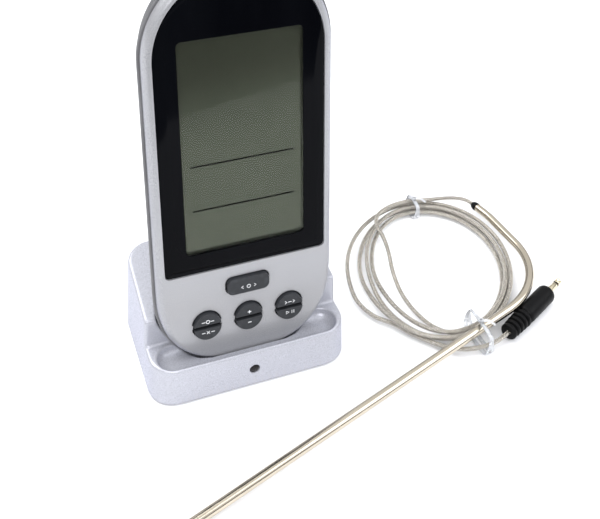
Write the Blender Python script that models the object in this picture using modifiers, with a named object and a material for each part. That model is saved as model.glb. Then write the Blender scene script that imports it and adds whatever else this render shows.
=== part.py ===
"""Wireless meat thermometer: a pager-style receiver standing in its transmitter base, and a
bent steel probe with a coiled braided cable and a 2.5 mm plug.

The origin is the centre of the base's footprint on the table, +X to the right, -Y towards the
user and +Z up. All dimensions are in millimetres, and MM turns them into Blender's metres.
"""
import math

import bmesh
import bpy
from mathutils import Vector

MM = 0.001
GAP = 0.3

# Transmitter base
BASE_WIDTH = 70.0
BASE_DEPTH = 49.4
BASE_CORNER = 9.0
BASE_DRAFT = math.radians(2.2)
HOUSING_BOTTOM = 0.6
LEDGE_HEIGHT = 14.7
BLOCK_FRONT_Y = -10.4
BLOCK_FRONT_HEIGHT = 25.5
BLOCK_REAR_HEIGHT = 31.4
BASE_WALL = 1.8
REAR_WALL = 3.0
LEDGE_CAVITY_HEIGHT = 9.4
EDGE_ROUNDING = 1.1
COVER_BOTTOM = 0.7
COVER_TOP = 2.1
FOOT_PAD_SIZE = (48.0, 34.0)
BASE_SCREW_X = 29.0
BASE_SCREW_Y = -15.0
INDICATOR_HEIGHT = 7.0
SIDE_PORT_Y = 11.5
JACK_HEIGHT = 9.0
SWITCH_HEIGHT = 20.0
SWITCH_TRAVEL = 2.5
REAR_DOOR_HALF_WIDTH = 26.5
REAR_DOOR_BOTTOM = 4.6
REAR_DOOR_TOP = 28.2
BASE_CELL_Y = 15.4
BASE_CELL_LOWER = 8.6
BASE_CELL_UPPER = 19.8

# Receiver, in its own leaning frame: x across, depth behind the front face, s up the face
LEAN = math.radians(5.55)
RECEIVER_ORIGIN = (0.0, -18.0, 11.4)
TOP_CENTRE = 109.0
BOTTOM_CENTRE = 27.5
FACE_HALF_WIDTH = 27.9
SHELL_HALF_WIDTH = 30.2
BAND_HALF_WIDTH = 31.0
FRONT_WALL = 2.2
FRONT_SHELL_DEPTH = 3.5
BACK_SHELL_START = 5.7
BACK_DEPTH = 20.4
FLAT_BACK_HALF_WIDTH = 17.0
BEZEL_HALF_WIDTH = 27.2
BEZEL_BOTTOM = 33.9
BEZEL_THICKNESS = 1.0
SCREEN_WIDTH = 40.0
SCREEN_BOTTOM = 41.15
SCREEN_HEIGHT = 74.4
MODE_CENTRE = 26.25
MODE_WIDTH = 14.5
MODE_HEIGHT = 6.0
ROUND_BUTTON_CENTRE = 13.18
ROUND_BUTTON_PITCH = 14.41
ROUND_BUTTON_HALF_WIDTH = 4.75
ROUND_BUTTON_HALF_HEIGHT = 5.1
ROUND_BUTTON_SLOT = 1.2
BUTTON_PROUD = 1.45
BUTTON_BACK = 3.2
RECEIVER_SCREWS = ((-13.0, 126.0), (13.0, 126.0), (-22.5, 27.0), (22.5, 27.0))
POCKET_CLEARANCE = 0.5
POCKET_WALL = 1.3
DOOR_HALF_WIDTH = 12.9
DOOR_BOTTOM = 50.6
DOOR_TOP = 105.4
DOOR_THICKNESS = 1.4

# AAA cell
CELL_RADIUS = 5.15
CELL_LENGTH = 44.5
CELL_NUB_LENGTH = 1.3
CELL_NUB_RADIUS = 1.9
RECEIVER_CELL_X = 5.4
RECEIVER_CELL_DEPTH = 13.5
RECEIVER_CELL_BOTTOM = 55.8

# Probe on the table
SHAFT_RADIUS = 1.65
SHAFT_BORE = 1.15
SHAFT_HEADING = math.radians(17.1)
SHAFT_STRAIGHT = 153.0
SHAFT_POINT = 9.0
BEND_CENTRE = (86.6, 3.0)
BEND_RADIUS = 33.1
BEND_END_HEADING = math.radians(91.1)
AFTER_BEND = 17.0
SECOND_BEND_RADIUS = 40.0
SECOND_BEND_TURN = math.radians(8.3)
SHAFT_TAIL = 4.0
SHAFT_RISE = 0.036
SHAFT_FALL = 0.084
CABLE_RADIUS = 0.85
COIL_CENTRE = (83.0, 5.8)
COIL_HALF_WIDTH = 33.5
COIL_HALF_DEPTH = 38.2
COIL_SHEAR = 0.17
COIL_LEFT_HALF_WIDTHS = (16.2, 23.5, 25.9, 29.0, 34.5)
COIL_PINCH = 0.12
STRAND_PITCH = 1.15
STRAND_LOW = 1.9
STRAND_HIGH = 3.9
STRAND_CROSSING = 6.2
STRAND_STEP_DEGREES = 15
PLUG_REAR = (92.6, -35.4)
PLUG_HEADING = math.radians(27.0)
PLUG_HEIGHT = 3.7
PLUG_LENGTH = 28.6
PLUG_RADIUS = 3.6
PIN_RADIUS = 1.25
PIN_INSERT = 4.2
TIE_WIRE = 0.35


def new_collection(name):
    collection = bpy.data.collections.new(name)
    bpy.context.scene.collection.children.link(collection)
    return collection


def new_material(name, colour, roughness, metallic=0.0):
    material = bpy.data.materials.new(name)
    material.use_nodes = True
    shader = material.node_tree.nodes["Principled BSDF"]
    shader.inputs["Base Color"].default_value = (*colour, 1.0)
    shader.inputs["Roughness"].default_value = roughness
    shader.inputs["Metallic"].default_value = metallic
    return material


def clear_scene():
    for obj in list(bpy.data.objects):
        bpy.data.objects.remove(obj, do_unlink=True)


clear_scene()
PARTS = new_collection("meat_thermometer")
CUTTERS = new_collection("cutters")

SILVER = new_material("silver_paint", (0.62, 0.62, 0.65), 0.35, 0.5)
DARK_PLASTIC = new_material("dark_plastic", (0.09, 0.095, 0.10), 0.5)
GLOSS_BLACK = new_material("gloss_black", (0.012, 0.013, 0.016), 0.08)
CLEAR = new_material("clear_plastic", (0.75, 0.78, 0.78), 0.05)
LCD_GREY = new_material("lcd_grey", (0.20, 0.23, 0.19), 0.25)
WHITE_PLASTIC = new_material("white_plastic", (0.75, 0.75, 0.73), 0.5)
RUBBER = new_material("dark_rubber", (0.07, 0.075, 0.08), 0.6)
BOARD_GREEN = new_material("board_green", (0.03, 0.17, 0.06), 0.45)
STEEL = new_material("steel", (0.72, 0.68, 0.60), 0.22, 1.0)
BRAID = new_material("braided_steel", (0.48, 0.45, 0.38), 0.4, 0.9)
GOLD = new_material("gold_plating", (0.83, 0.70, 0.45), 0.25, 1.0)
CELL_WRAP = new_material("cell_wrap", (0.10, 0.22, 0.30), 0.4)
RED_LENS = new_material("dark_red_lens", (0.10, 0.01, 0.01), 0.15)


def add_frame(name, location, tilt):
    """An empty whose x axis stays level and whose z axis leans by tilt."""
    frame = bpy.data.objects.new(name, None)
    frame.empty_display_size = 0.02
    frame.location = Vector(location) * MM
    frame.rotation_euler = (tilt, 0.0, 0.0)
    PARTS.objects.link(frame)
    return frame


def add_object(name, bm, material=None, parent=None, origin=(0.0, 0.0, 0.0), cutter=False):
    """Turn a bmesh in millimetres into an object in metres whose origin is at the given point."""
    bmesh.ops.translate(bm, vec=-Vector(origin), verts=bm.verts)
    bmesh.ops.scale(bm, vec=(MM, MM, MM), verts=bm.verts)
    bmesh.ops.recalc_face_normals(bm, faces=bm.faces)
    mesh = bpy.data.meshes.new(name)
    bm.to_mesh(mesh)
    bm.free()
    return add_mesh(name, mesh, material, parent, origin, cutter)


def add_mesh(name, mesh, material=None, parent=None, origin=(0.0, 0.0, 0.0), cutter=False):
    obj = bpy.data.objects.new(name, mesh)
    obj.location = Vector(origin) * MM
    obj.parent = parent
    if cutter:
        obj.hide_render = True
        obj.display_type = "WIRE"
        CUTTERS.objects.link(obj)
        return obj
    mesh.materials.clear()
    mesh.materials.append(material)
    mesh.shade_smooth()
    mesh.set_sharp_from_angle(angle=math.radians(35.0))
    PARTS.objects.link(obj)
    return obj


def aim(obj, place, direction):
    """Move the object's origin to a place and turn its z axis along a direction."""
    obj.location = Vector(place) * MM
    obj.rotation_euler = Vector(direction).to_track_quat("Z", "Y").to_euler()
    return obj


def boolean(obj, other, operation):
    modifier = obj.modifiers.new(f"{operation.lower()}_{other.name}", "BOOLEAN")
    modifier.operation = operation
    modifier.object = other
    return obj


def cut(obj, *cutters):
    for cutter in cutters:
        boolean(obj, cutter, "DIFFERENCE")
    return obj


def join(obj, *others):
    for other in others:
        boolean(obj, other, "UNION")
    return obj


# Outlines ---------------------------------------------------------------------------------


def rounded_rectangle(x_range, v_range, radius, segments=4):
    """Corner arcs of a rectangle, counter-clockwise from the corner at +x, +v."""
    points = []
    corners = ((x_range[1], v_range[1]), (x_range[0], v_range[1]),
               (x_range[0], v_range[0]), (x_range[1], v_range[0]))
    for quarter, (x, v) in enumerate(corners):
        centre_x = x - math.copysign(radius, x - sum(x_range) / 2)
        centre_v = v - math.copysign(radius, v - sum(v_range) / 2)
        for step in range(segments + 1):
            angle = math.radians(90.0 * (quarter + step / segments))
            points.append((centre_x + radius * math.cos(angle), centre_v + radius * math.sin(angle)))
    return points


def receiver_outline(half_width, segments=16):
    """A half circle at the top, straight sides, and a full, squarish curve at the bottom."""
    points = []
    for step in range(segments + 1):
        angle = math.pi * step / segments
        points.append((half_width * math.cos(angle), TOP_CENTRE + half_width * math.sin(angle)))
    for step in range(segments + 1):
        angle = math.pi * (1.0 + step / segments)
        across = math.copysign(abs(math.cos(angle)) ** 0.8, math.cos(angle))
        down = abs(math.sin(angle)) ** 0.8
        points.append((half_width * across, BOTTOM_CENTRE - (half_width + 1.0) * down))
    return points


def half_moon(upper, grow=0.0, segments=10):
    """One half of a round button about its own centre, flat along the slot between the halves."""
    half_width = ROUND_BUTTON_HALF_WIDTH + grow
    half_height = ROUND_BUTTON_HALF_HEIGHT + grow
    start = math.asin((ROUND_BUTTON_SLOT / 2 - grow) / half_height)
    side = 1.0 if upper else -1.0
    points = []
    for step in range(segments + 1):
        angle = start + (math.pi - 2 * start) * step / segments
        points.append((half_width * math.cos(angle), side * half_height * math.sin(angle)))
    return points


def mode_outline(grow):
    half_width, half_height = MODE_WIDTH / 2 + grow, MODE_HEIGHT / 2 + grow
    return rounded_rectangle((-half_width, half_width), (-half_height, half_height), 2.1 + grow)


def ellipse(half_width, half_height, segments=24):
    angles = [2 * math.pi * step / segments for step in range(segments)]
    return [(half_width * math.cos(a), half_height * math.sin(a)) for a in angles]


def shifted(points, centre):
    return [(x + centre[0], v + centre[1]) for x, v in points]


def at_height(points, z):
    return [Vector((x, y, z)) for x, y in points]


def at_depth(points, depth):
    return [Vector((x, depth, s)) for x, s in points]


# Solids -----------------------------------------------------------------------------------


def loft(name, loops, closed_ring=False, **options):
    """A skin through loops with the same number of points, capped or joined into a ring."""
    bm = bmesh.new()
    rings = [[bm.verts.new(point) for point in loop] for loop in loops]
    pairs = list(zip(rings, rings[1:]))
    if closed_ring:
        pairs.append((rings[-1], rings[0]))
    else:
        bm.faces.new(rings[0])
        bm.faces.new(rings[-1])
    for near, far in pairs:
        for i in range(len(near)):
            j = (i + 1) % len(near)
            bm.faces.new((near[i], near[j], far[j], far[i]))
    return add_object(name, bm, **options)


def box(name, x_range, y_range, z_range, **options):
    bm = bmesh.new()
    bmesh.ops.create_cube(bm, size=1.0)
    ranges = (x_range, y_range, z_range)
    bmesh.ops.scale(bm, vec=[high - low for low, high in ranges], verts=bm.verts)
    bmesh.ops.translate(bm, vec=[(low + high) / 2 for low, high in ranges], verts=bm.verts)
    return add_object(name, bm, **options)


def turned(name, profile, start, direction, segments=20, **options):
    """A turned piece: a profile of (distance along the axis, radius) pairs, swept by Screw.

    The profile goes up the outside. One that begins and ends off the axis closes on itself, which
    leaves a through bore.
    """
    bm = bmesh.new()
    verts = [bm.verts.new((radius, 0.0, along)) for along, radius in reversed(profile)]
    pairs = list(zip(verts, verts[1:]))
    if profile[0][1] > 0 and profile[-1][1] > 0:
        pairs.append((verts[-1], verts[0]))
    for pair in pairs:
        bm.edges.new(pair)
    piece = aim(add_object(name, bm, **options), start, direction)
    sweep = piece.modifiers.new("turned", "SCREW")
    sweep.steps = segments
    sweep.render_steps = segments
    sweep.use_merge_vertices = True
    sweep.merge_threshold = 0.00001
    return piece


def rod(name, radius, start, end, segments=20, **options):
    start, end = Vector(start), Vector(end)
    bm = bmesh.new()
    bmesh.ops.create_cone(bm, cap_ends=True, segments=segments, radius1=radius, radius2=radius,
                          depth=(end - start).length)
    return aim(add_object(name, bm, **options), (start + end) / 2, end - start)


def poly_spline(curve, points, closed):
    spline = curve.splines.new("POLY")
    spline.points.add(len(points) - 1)
    for control, point in zip(spline.points, points):
        control.co = (*(Vector(point) * MM), 1.0)
    spline.use_cyclic_u = closed
    return spline


def mesh_of_curve(curve):
    """The curve as a closed mesh, with its caps welded to its sides."""
    carrier = bpy.data.objects.new(curve.name + "_curve", curve)
    PARTS.objects.link(carrier)
    evaluated = carrier.evaluated_get(bpy.context.evaluated_depsgraph_get())
    mesh = bpy.data.meshes.new_from_object(evaluated)
    bpy.data.objects.remove(carrier, do_unlink=True)
    bm = bmesh.new()
    bm.from_mesh(mesh)
    bmesh.ops.remove_doubles(bm, verts=bm.verts, dist=0.00001)
    bmesh.ops.recalc_face_normals(bm, faces=bm.faces)
    bm.to_mesh(mesh)
    bm.free()
    return mesh


def plate(name, outline, low, high, facing="up", **options):
    """A flat outline as a filled curve with a thickness, from low to high along its normal.

    Facing "up" lays the outline in x and y, "front" stands it in x and z, "side" in y and z.
    """
    curve = bpy.data.curves.new(name, "CURVE")
    curve.dimensions = "2D"
    curve.fill_mode = "BOTH"
    curve.extrude = (high - low) / 2 * MM
    poly_spline(curve, [(x, v, 0.0) for x, v in outline], closed=True)
    piece = add_mesh(name, mesh_of_curve(curve), **options)
    turn, normal = {"up": ((0.0, 0.0, 0.0), (0.0, 0.0, 1.0)),
                    "front": ((90.0, 0.0, 0.0), (0.0, 1.0, 0.0)),
                    "side": ((90.0, 0.0, 90.0), (1.0, 0.0, 0.0))}[facing]
    piece.location = Vector(normal) * ((low + high) / 2 * MM)
    piece.rotation_euler = [math.radians(angle) for angle in turn]
    return piece


def wire(name, points, radius, material=None, parent=None, closed=False, cutter=False,
         resolution=2, taper=None):
    """A round wire through the points."""
    curve = bpy.data.curves.new(name, "CURVE")
    curve.dimensions = "3D"
    curve.bevel_depth = radius * MM
    curve.bevel_resolution = resolution
    curve.use_fill_caps = True
    spline = poly_spline(curve, points, closed)
    if taper:
        spline.points.foreach_set("radius", taper)
    return add_mesh(name, mesh_of_curve(curve), material, parent, cutter=cutter)


def helix(start, direction, radius_start, radius_end, turns, length, steps_per_turn=8):
    axis = Vector(direction).normalized()
    side = axis.orthogonal().normalized()
    other = axis.cross(side)
    points = []
    total = turns * steps_per_turn
    for step in range(total + 1):
        share = step / total
        angle = 2 * math.pi * turns * share
        radius = radius_start + (radius_end - radius_start) * share
        offset = radius * (math.cos(angle) * side + math.sin(angle) * other)
        points.append(Vector(start) + axis * length * share + offset)
    return points


def smooth_step(value, low, high):
    share = min(max((value - low) / (high - low), 0.0), 1.0)
    return share * share * (3.0 - 2.0 * share)


# Transmitter base -------------------------------------------------------------------------

RECEIVER = add_frame("receiver_frame", RECEIVER_ORIGIN, -LEAN)
REAR_FACE = add_frame("rear_face_frame", (0.0, BASE_DEPTH / 2, 0.0), BASE_DRAFT)


def base_loop(z, side_inset, rear_inset=None):
    """The drafted footprint at a height, moved in from the outer walls."""
    rear_inset = side_inset if rear_inset is None else rear_inset
    draft = z * math.tan(BASE_DRAFT)
    half_x = BASE_WIDTH / 2 - draft - side_inset
    y_range = (-BASE_DEPTH / 2 + draft + side_inset, BASE_DEPTH / 2 - draft - rear_inset)
    radius = BASE_CORNER - side_inset
    return at_height(rounded_rectangle((-half_x, half_x), y_range, radius, 6), z)


def side_profile(name, bottom, ledge, drop, block_y):
    """The base's stepped side view as a slab across its whole width."""
    run = BASE_DEPTH / 2 - BLOCK_FRONT_Y
    slope = (BLOCK_REAR_HEIGHT - BLOCK_FRONT_HEIGHT) / run
    front_top = BLOCK_FRONT_HEIGHT - drop + slope * (block_y - BLOCK_FRONT_Y)
    rear_top = front_top + slope * (40.0 - block_y)
    outline = ((-40.0, bottom), (-40.0, ledge), (block_y, ledge), (block_y, front_top),
               (40.0, rear_top), (40.0, bottom))
    return plate(name, outline, -40.0, 40.0, "side", cutter=True)


def receiver_envelope(name, clearance):
    """The receiver's whole outside, grown by a clearance, for its pocket and the pocket's wall."""
    profile = ((FACE_HALF_WIDTH, -clearance), (29.0, 0.2), (29.9, 1.1), (BAND_HALF_WIDTH, 3.4),
               (BAND_HALF_WIDTH, 6.0), (30.2, 8.0), (29.2, 12.0), (27.0, 16.0), (23.2, 19.0),
               (FLAT_BACK_HALF_WIDTH, BACK_DEPTH + clearance))
    loops = [at_depth(receiver_outline(width + clearance, 16), depth) for width, depth in profile]
    return loft(name, loops, parent=RECEIVER, cutter=True)


def build_housing():
    housing = loft("base_housing", [base_loop(HOUSING_BOTTOM, 0.0), base_loop(36.0, 0.0)],
                   material=SILVER)
    boolean(housing, side_profile("housing_side_view", 0.0, LEDGE_HEIGHT, 0.0, BLOCK_FRONT_Y),
            "INTERSECT")
    rounding = housing.modifiers.new("rounded_edges", "BEVEL")
    rounding.width = EDGE_ROUNDING * MM
    rounding.segments = 2
    rounding.limit_method = "ANGLE"
    rounding.angle_limit = math.radians(50.0)

    cavity = loft("cavity", [base_loop(0.0, BASE_WALL, REAR_WALL), base_loop(36.0, BASE_WALL, REAR_WALL)],
                  cutter=True)
    inner_view = side_profile("cavity_side_view", -1.0, LEDGE_CAVITY_HEIGHT, BASE_WALL,
                              BLOCK_FRONT_Y + BASE_WALL)
    boolean(cavity, inner_view, "INTERSECT")
    cut(cavity, receiver_envelope("pocket_wall", POCKET_CLEARANCE + POCKET_WALL))
    for side in (-1, 1):
        boss = rod(f"boss_{side}", 2.6, (side * BASE_SCREW_X, BASE_SCREW_Y, 3.7),
                   (side * BASE_SCREW_X, BASE_SCREW_Y, 12.0), cutter=True)
        cut(cavity, boss)
    cut(housing, cavity)

    cut(housing, trough_cutter(), receiver_envelope("receiver_pocket", POCKET_CLEARANCE))
    for side in (-1, 1):
        pilot = rod(f"pilot_{side}", 1.3, (side * BASE_SCREW_X, BASE_SCREW_Y, 3.0),
                    (side * BASE_SCREW_X, BASE_SCREW_Y, 9.5), 12, cutter=True)
        cut(housing, pilot)
    cut(housing,
        rod("indicator_hole", 1.8, (0, -27, INDICATOR_HEIGHT), (0, -21.4, INDICATOR_HEIGHT), cutter=True),
        rod("jack_hole", 3.0, (31.0, SIDE_PORT_Y, JACK_HEIGHT), (38.0, SIDE_PORT_Y, JACK_HEIGHT),
            cutter=True),
        box("switch_slot", (31.0, 38.0), (SIDE_PORT_Y - 3.05, SIDE_PORT_Y + 3.05),
            (SWITCH_HEIGHT - 1.8, SWITCH_HEIGHT + 1.8), cutter=True),
        box("rear_door_recess", (-REAR_DOOR_HALF_WIDTH - GAP, REAR_DOOR_HALF_WIDTH + GAP), (-1.9, 2.0),
            (REAR_DOOR_BOTTOM - GAP, REAR_DOOR_TOP + GAP), parent=REAR_FACE, cutter=True),
        box("rear_door_opening", (-25.0, 25.0), (-5.0, 1.0), (6.2, 26.6), parent=REAR_FACE, cutter=True))


def trough_cutter():
    """The shallow bath-shaped trough behind the rim, where the receiver's lower end drops in."""
    rims = ((16.0, -0.2), (LEDGE_HEIGHT, 0.0), (13.0, 0.9), (11.8, 2.2), (11.2, 3.8))
    loops = []
    for z, inset in rims:
        outline = rounded_rectangle((-31.5 + inset, 31.5 - inset), (-22.9 + inset, -12.3 - inset),
                                    5.2 - inset, 6)
        loops.append(at_height(outline, z))
    return loft("trough", loops, cutter=True)


def build_cover():
    cover_inset = (BASE_WALL + 0.5, REAR_WALL + 0.5)
    loops = [base_loop(COVER_BOTTOM, *cover_inset), base_loop(COVER_TOP, *cover_inset)]
    cover = loft("base_bottom_cover", loops, material=DARK_PLASTIC)
    for side in (-1, 1):
        place = (side * BASE_SCREW_X, BASE_SCREW_Y)
        join(cover, rod(f"screw_pad_{side}", 3.4, (*place, 1.2), (*place, 3.4), cutter=True))
        cut(cover, rod(f"screw_head_hole_{side}", 2.6, (*place, 0.0), (*place, 2.0), cutter=True),
            rod(f"screw_hole_{side}", 1.4, (*place, 1.0), (*place, 4.0), 12, cutter=True))
    half_x, half_y = FOOT_PAD_SIZE[0] / 2, FOOT_PAD_SIZE[1] / 2
    recess = rounded_rectangle((-half_x - GAP, half_x + GAP), (-half_y - GAP, half_y + GAP), 4.3)
    cut(cover, plate("foot_pad_recess", recess, 0.0, 1.2, cutter=True))
    pad = rounded_rectangle((-half_x, half_x), (-half_y, half_y), 4.0)
    plate("base_foot_pad", pad, 0.0, 0.9, material=RUBBER)


def build_base_internals():
    box("base_circuit_board", (-25.0, 25.0), (-22.0, 8.6), (2.4, 3.4), material=BOARD_GREEN)
    box("indicator_led", (-1.5, 1.5), (-22.2, -20.9), (3.7, 7.9), material=WHITE_PLASTIC)
    turned("indicator_lens", ((0.0, 0.0), (0.0, 1.2), (0.25, 1.5), (1.9, 1.5), (1.9, 0.0)),
           (0, -24.6, INDICATOR_HEIGHT), (0, 1, 0), material=RED_LENS)
    wire("base_antenna", helix((-29.0, 7.5, 9.0), (0, 1, 0), 2.2, 2.2, 4, 8.0), 0.35, GOLD, resolution=1)
    for side, name in ((-1, "base_screw_left"), (1, "base_screw_right")):
        profile = ((0.0, 0.0), (0.0, 2.0), (1.0, 2.2), (1.0, 1.0), (7.4, 1.0), (8.0, 0.0))
        turned(name, profile, (side * BASE_SCREW_X, BASE_SCREW_Y, 0.7), (0, 0, 1), 16, material=STEEL)

    jack = box("probe_jack", (25.8, 32.2), (SIDE_PORT_Y - 3.0, SIDE_PORT_Y + 3.0),
               (JACK_HEIGHT - 3.0, JACK_HEIGHT + 3.0), material=DARK_PLASTIC)
    join(jack, rod("jack_bush", 2.6, (31.0, SIDE_PORT_Y, JACK_HEIGHT), (34.5, SIDE_PORT_Y, JACK_HEIGHT),
                   cutter=True))
    cut(jack, rod("jack_bore", 1.5, (27.0, SIDE_PORT_Y, JACK_HEIGHT), (36.0, SIDE_PORT_Y, JACK_HEIGHT),
                  16, cutter=True))


def build_power_switch():
    box("power_switch_body", (27.2, 30.5), (SIDE_PORT_Y - 4.8, SIDE_PORT_Y + 4.5),
        (SWITCH_HEIGHT - 2.4, SWITCH_HEIGHT + 2.4), material=DARK_PLASTIC)
    rest_y = SIDE_PORT_Y - SWITCH_TRAVEL / 2
    origin = (32.0, rest_y, SWITCH_HEIGHT)
    knob = box("power_switch_knob", (30.8, 32.0), (rest_y - 2.6, rest_y + 2.6),
               (SWITCH_HEIGHT - 2.2, SWITCH_HEIGHT + 2.2), origin=origin, material=DARK_PLASTIC)
    join(knob, box("knob_stub", (31.5, 34.9), (rest_y - 1.5, rest_y + 1.5),
                   (SWITCH_HEIGHT - 1.4, SWITCH_HEIGHT + 1.4), cutter=True))


def build_rear_door():
    hinge = (0.0, -0.1, REAR_DOOR_BOTTOM)
    door = box("base_battery_door", (-REAR_DOOR_HALF_WIDTH, REAR_DOOR_HALF_WIDTH), (-1.6, -0.1),
               (REAR_DOOR_BOTTOM, REAR_DOOR_TOP), parent=REAR_FACE, origin=hinge, material=SILVER)
    grip = box("base_door_grip", (-6.0, 6.0), (-0.7, 1.0), (REAR_DOOR_TOP - 3.0, REAR_DOOR_TOP + 1.0),
               parent=REAR_FACE, cutter=True)
    cut(door, grip)


# Cells and their contacts -----------------------------------------------------------------


def build_cell(name, negative_end, direction, parent=None):
    body = CELL_LENGTH - CELL_NUB_LENGTH
    profile = ((0.0, 0.0), (0.0, CELL_RADIUS), (body, CELL_RADIUS), (body, CELL_NUB_RADIUS),
               (CELL_LENGTH, CELL_NUB_RADIUS), (CELL_LENGTH, 0.0))
    turned(name, profile, negative_end, direction, 24, parent=parent, material=CELL_WRAP)


def build_contacts(spring_name, plate_name, negative_end, direction, parent=None):
    """A conical spring against the cell's flat end and a plate against its nub."""
    axis = Vector(direction)
    start = Vector(negative_end) - axis * 0.6
    wire(spring_name, helix(start, -axis, 2.2, 3.2, 2, 1.6), 0.28, STEEL, parent, resolution=1)
    centre = Vector(negative_end) + axis * (CELL_LENGTH + 0.5)
    half = Vector([0.2 if abs(part) > 0.5 else 3.2 for part in axis])
    ranges = [(centre[i] - half[i], centre[i] + half[i]) for i in range(3)]
    box(plate_name, *ranges, parent=parent, material=STEEL)


def build_base_cells():
    half = CELL_LENGTH / 2
    for level, height, side in (("lower", BASE_CELL_LOWER, -1), ("upper", BASE_CELL_UPPER, 1)):
        end = (side * half, BASE_CELL_Y, height)
        build_cell(f"base_cell_{level}", end, (-side, 0, 0))
        build_contacts(f"base_spring_{level}", f"base_contact_{level}", end, (-side, 0, 0))


def build_receiver_cells():
    top = RECEIVER_CELL_BOTTOM + CELL_LENGTH
    for name, side, end_s in (("left", -1, RECEIVER_CELL_BOTTOM), ("right", 1, top)):
        end = (side * RECEIVER_CELL_X, RECEIVER_CELL_DEPTH, end_s)
        build_cell(f"receiver_cell_{name}", end, (0, 0, -side), RECEIVER)
        build_contacts(f"receiver_spring_{name}", f"receiver_contact_{name}", end, (0, 0, -side), RECEIVER)


# Receiver ---------------------------------------------------------------------------------


def bezel_solid(name, half_width, depths, bottom, **options):
    solid = plate(name, receiver_outline(half_width), *depths, "front", parent=RECEIVER, **options)
    below = box(name + "_below", (-40.0, 40.0), (depths[0] - 1.0, depths[1] + 1.0), (-10.0, bottom),
                parent=RECEIVER, cutter=True)
    return cut(solid, below)


def screen_plate(name, grow, depths, radius=2.0, **options):
    half = SCREEN_WIDTH / 2 + grow
    s_range = (SCREEN_BOTTOM - grow, SCREEN_BOTTOM + SCREEN_HEIGHT + grow)
    outline = rounded_rectangle((-half, half), s_range, radius)
    return plate(name, outline, *depths, "front", parent=RECEIVER, **options)


def build_front_shell():
    profile = ((FACE_HALF_WIDTH, 0.0), (28.8, 0.3), (29.6, 1.1), (30.05, 2.2),
               (SHELL_HALF_WIDTH, FRONT_SHELL_DEPTH))
    loops = [at_depth(receiver_outline(width), depth) for width, depth in profile]
    shell = loft("receiver_front_shell", loops, parent=RECEIVER, material=SILVER)
    hollow = [at_depth(receiver_outline(27.9), FRONT_WALL), at_depth(receiver_outline(28.0), 5.0)]
    cut(shell, loft("front_hollow", hollow, parent=RECEIVER, cutter=True))
    for index, (x, s) in enumerate(RECEIVER_SCREWS):
        boss = rod(f"front_boss_{index}", 2.9, (x, 1.6, s), (x, 9.0, s), 16, parent=RECEIVER, cutter=True)
        bore = rod(f"front_bore_{index}", 1.4, (x, 3.4, s), (x, 10.0, s), 12, parent=RECEIVER, cutter=True)
        join(shell, boss)
        cut(shell, bore)
    cut(shell,
        bezel_solid("bezel_pocket", BEZEL_HALF_WIDTH + GAP, (-1.0, BEZEL_THICKNESS + GAP),
                    BEZEL_BOTTOM - GAP, cutter=True),
        screen_plate("window_opening", 2.0, (0.5, 3.4), cutter=True))
    for x in (-ROUND_BUTTON_PITCH, 0.0, ROUND_BUTTON_PITCH):
        outline = ellipse(ROUND_BUTTON_HALF_WIDTH + GAP, ROUND_BUTTON_HALF_HEIGHT + GAP)
        outline = shifted(outline, (x, ROUND_BUTTON_CENTRE))
        cut(shell, plate(f"round_hole_{x:.0f}", outline, -1.0, 3.5, "front", parent=RECEIVER, cutter=True))
    outline = shifted(mode_outline(GAP), (0.0, MODE_CENTRE))
    cut(shell, plate("mode_hole", outline, -1.0, 3.5, "front", parent=RECEIVER, cutter=True))


def build_band():
    profile = ((30.5, 3.8), (BAND_HALF_WIDTH, 4.2), (BAND_HALF_WIDTH, 5.0), (30.5, 5.4),
               (28.4, 5.4), (28.4, 3.8))
    loops = [at_depth(receiver_outline(width), depth) for width, depth in profile]
    loft("receiver_band", loops, closed_ring=True, parent=RECEIVER, material=DARK_PLASTIC)


def build_back_shell():
    outer = ((30.2, BACK_SHELL_START), (30.0, 8.0), (29.0, 12.0), (26.8, 16.0), (23.0, 19.0),
             (FLAT_BACK_HALF_WIDTH, BACK_DEPTH))
    inner = ((28.6, BACK_SHELL_START - 1.0), (28.4, 8.0), (27.4, 11.6), (25.2, 15.2), (21.4, 17.8),
             (16.0, BACK_DEPTH - 1.6))
    shell = loft("receiver_back_shell", [at_depth(receiver_outline(w), d) for w, d in outer],
                 parent=RECEIVER, material=DARK_PLASTIC)
    hollow = loft("back_hollow", [at_depth(receiver_outline(w), d) for w, d in inner],
                  parent=RECEIVER, cutter=True)
    cut(hollow, box("battery_box", (-14.0, 14.0), (7.0, 25.0), (49.5, 106.5), parent=RECEIVER, cutter=True))
    for index, (x, s) in enumerate(RECEIVER_SCREWS):
        cut(hollow, rod(f"column_{index}", 3.9, (x, 9.3, s), (x, 25.0, s), 16, parent=RECEIVER, cutter=True))
    cut(shell, hollow)
    well = ((0.0, 0.0), (0.0, 2.5), (12.5, 2.5), (12.5, 1.5), (16.0, 1.5), (16.0, 0.0))
    for index, (x, s) in enumerate(RECEIVER_SCREWS):
        cut(shell, turned(f"screw_well_{index}", well, (x, 24.0, s), (0, -1, 0), 16, parent=RECEIVER,
                          cutter=True))
    cut(shell,
        box("cell_space", (-11.2, 11.2), (8.0, 22.0), (52.8, 103.2), parent=RECEIVER, cutter=True),
        box("door_recess", (-DOOR_HALF_WIDTH - GAP, DOOR_HALF_WIDTH + GAP),
            (BACK_DEPTH - DOOR_THICKNESS - GAP, 23.0), (DOOR_BOTTOM - GAP, DOOR_TOP + GAP),
            parent=RECEIVER, cutter=True))


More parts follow.
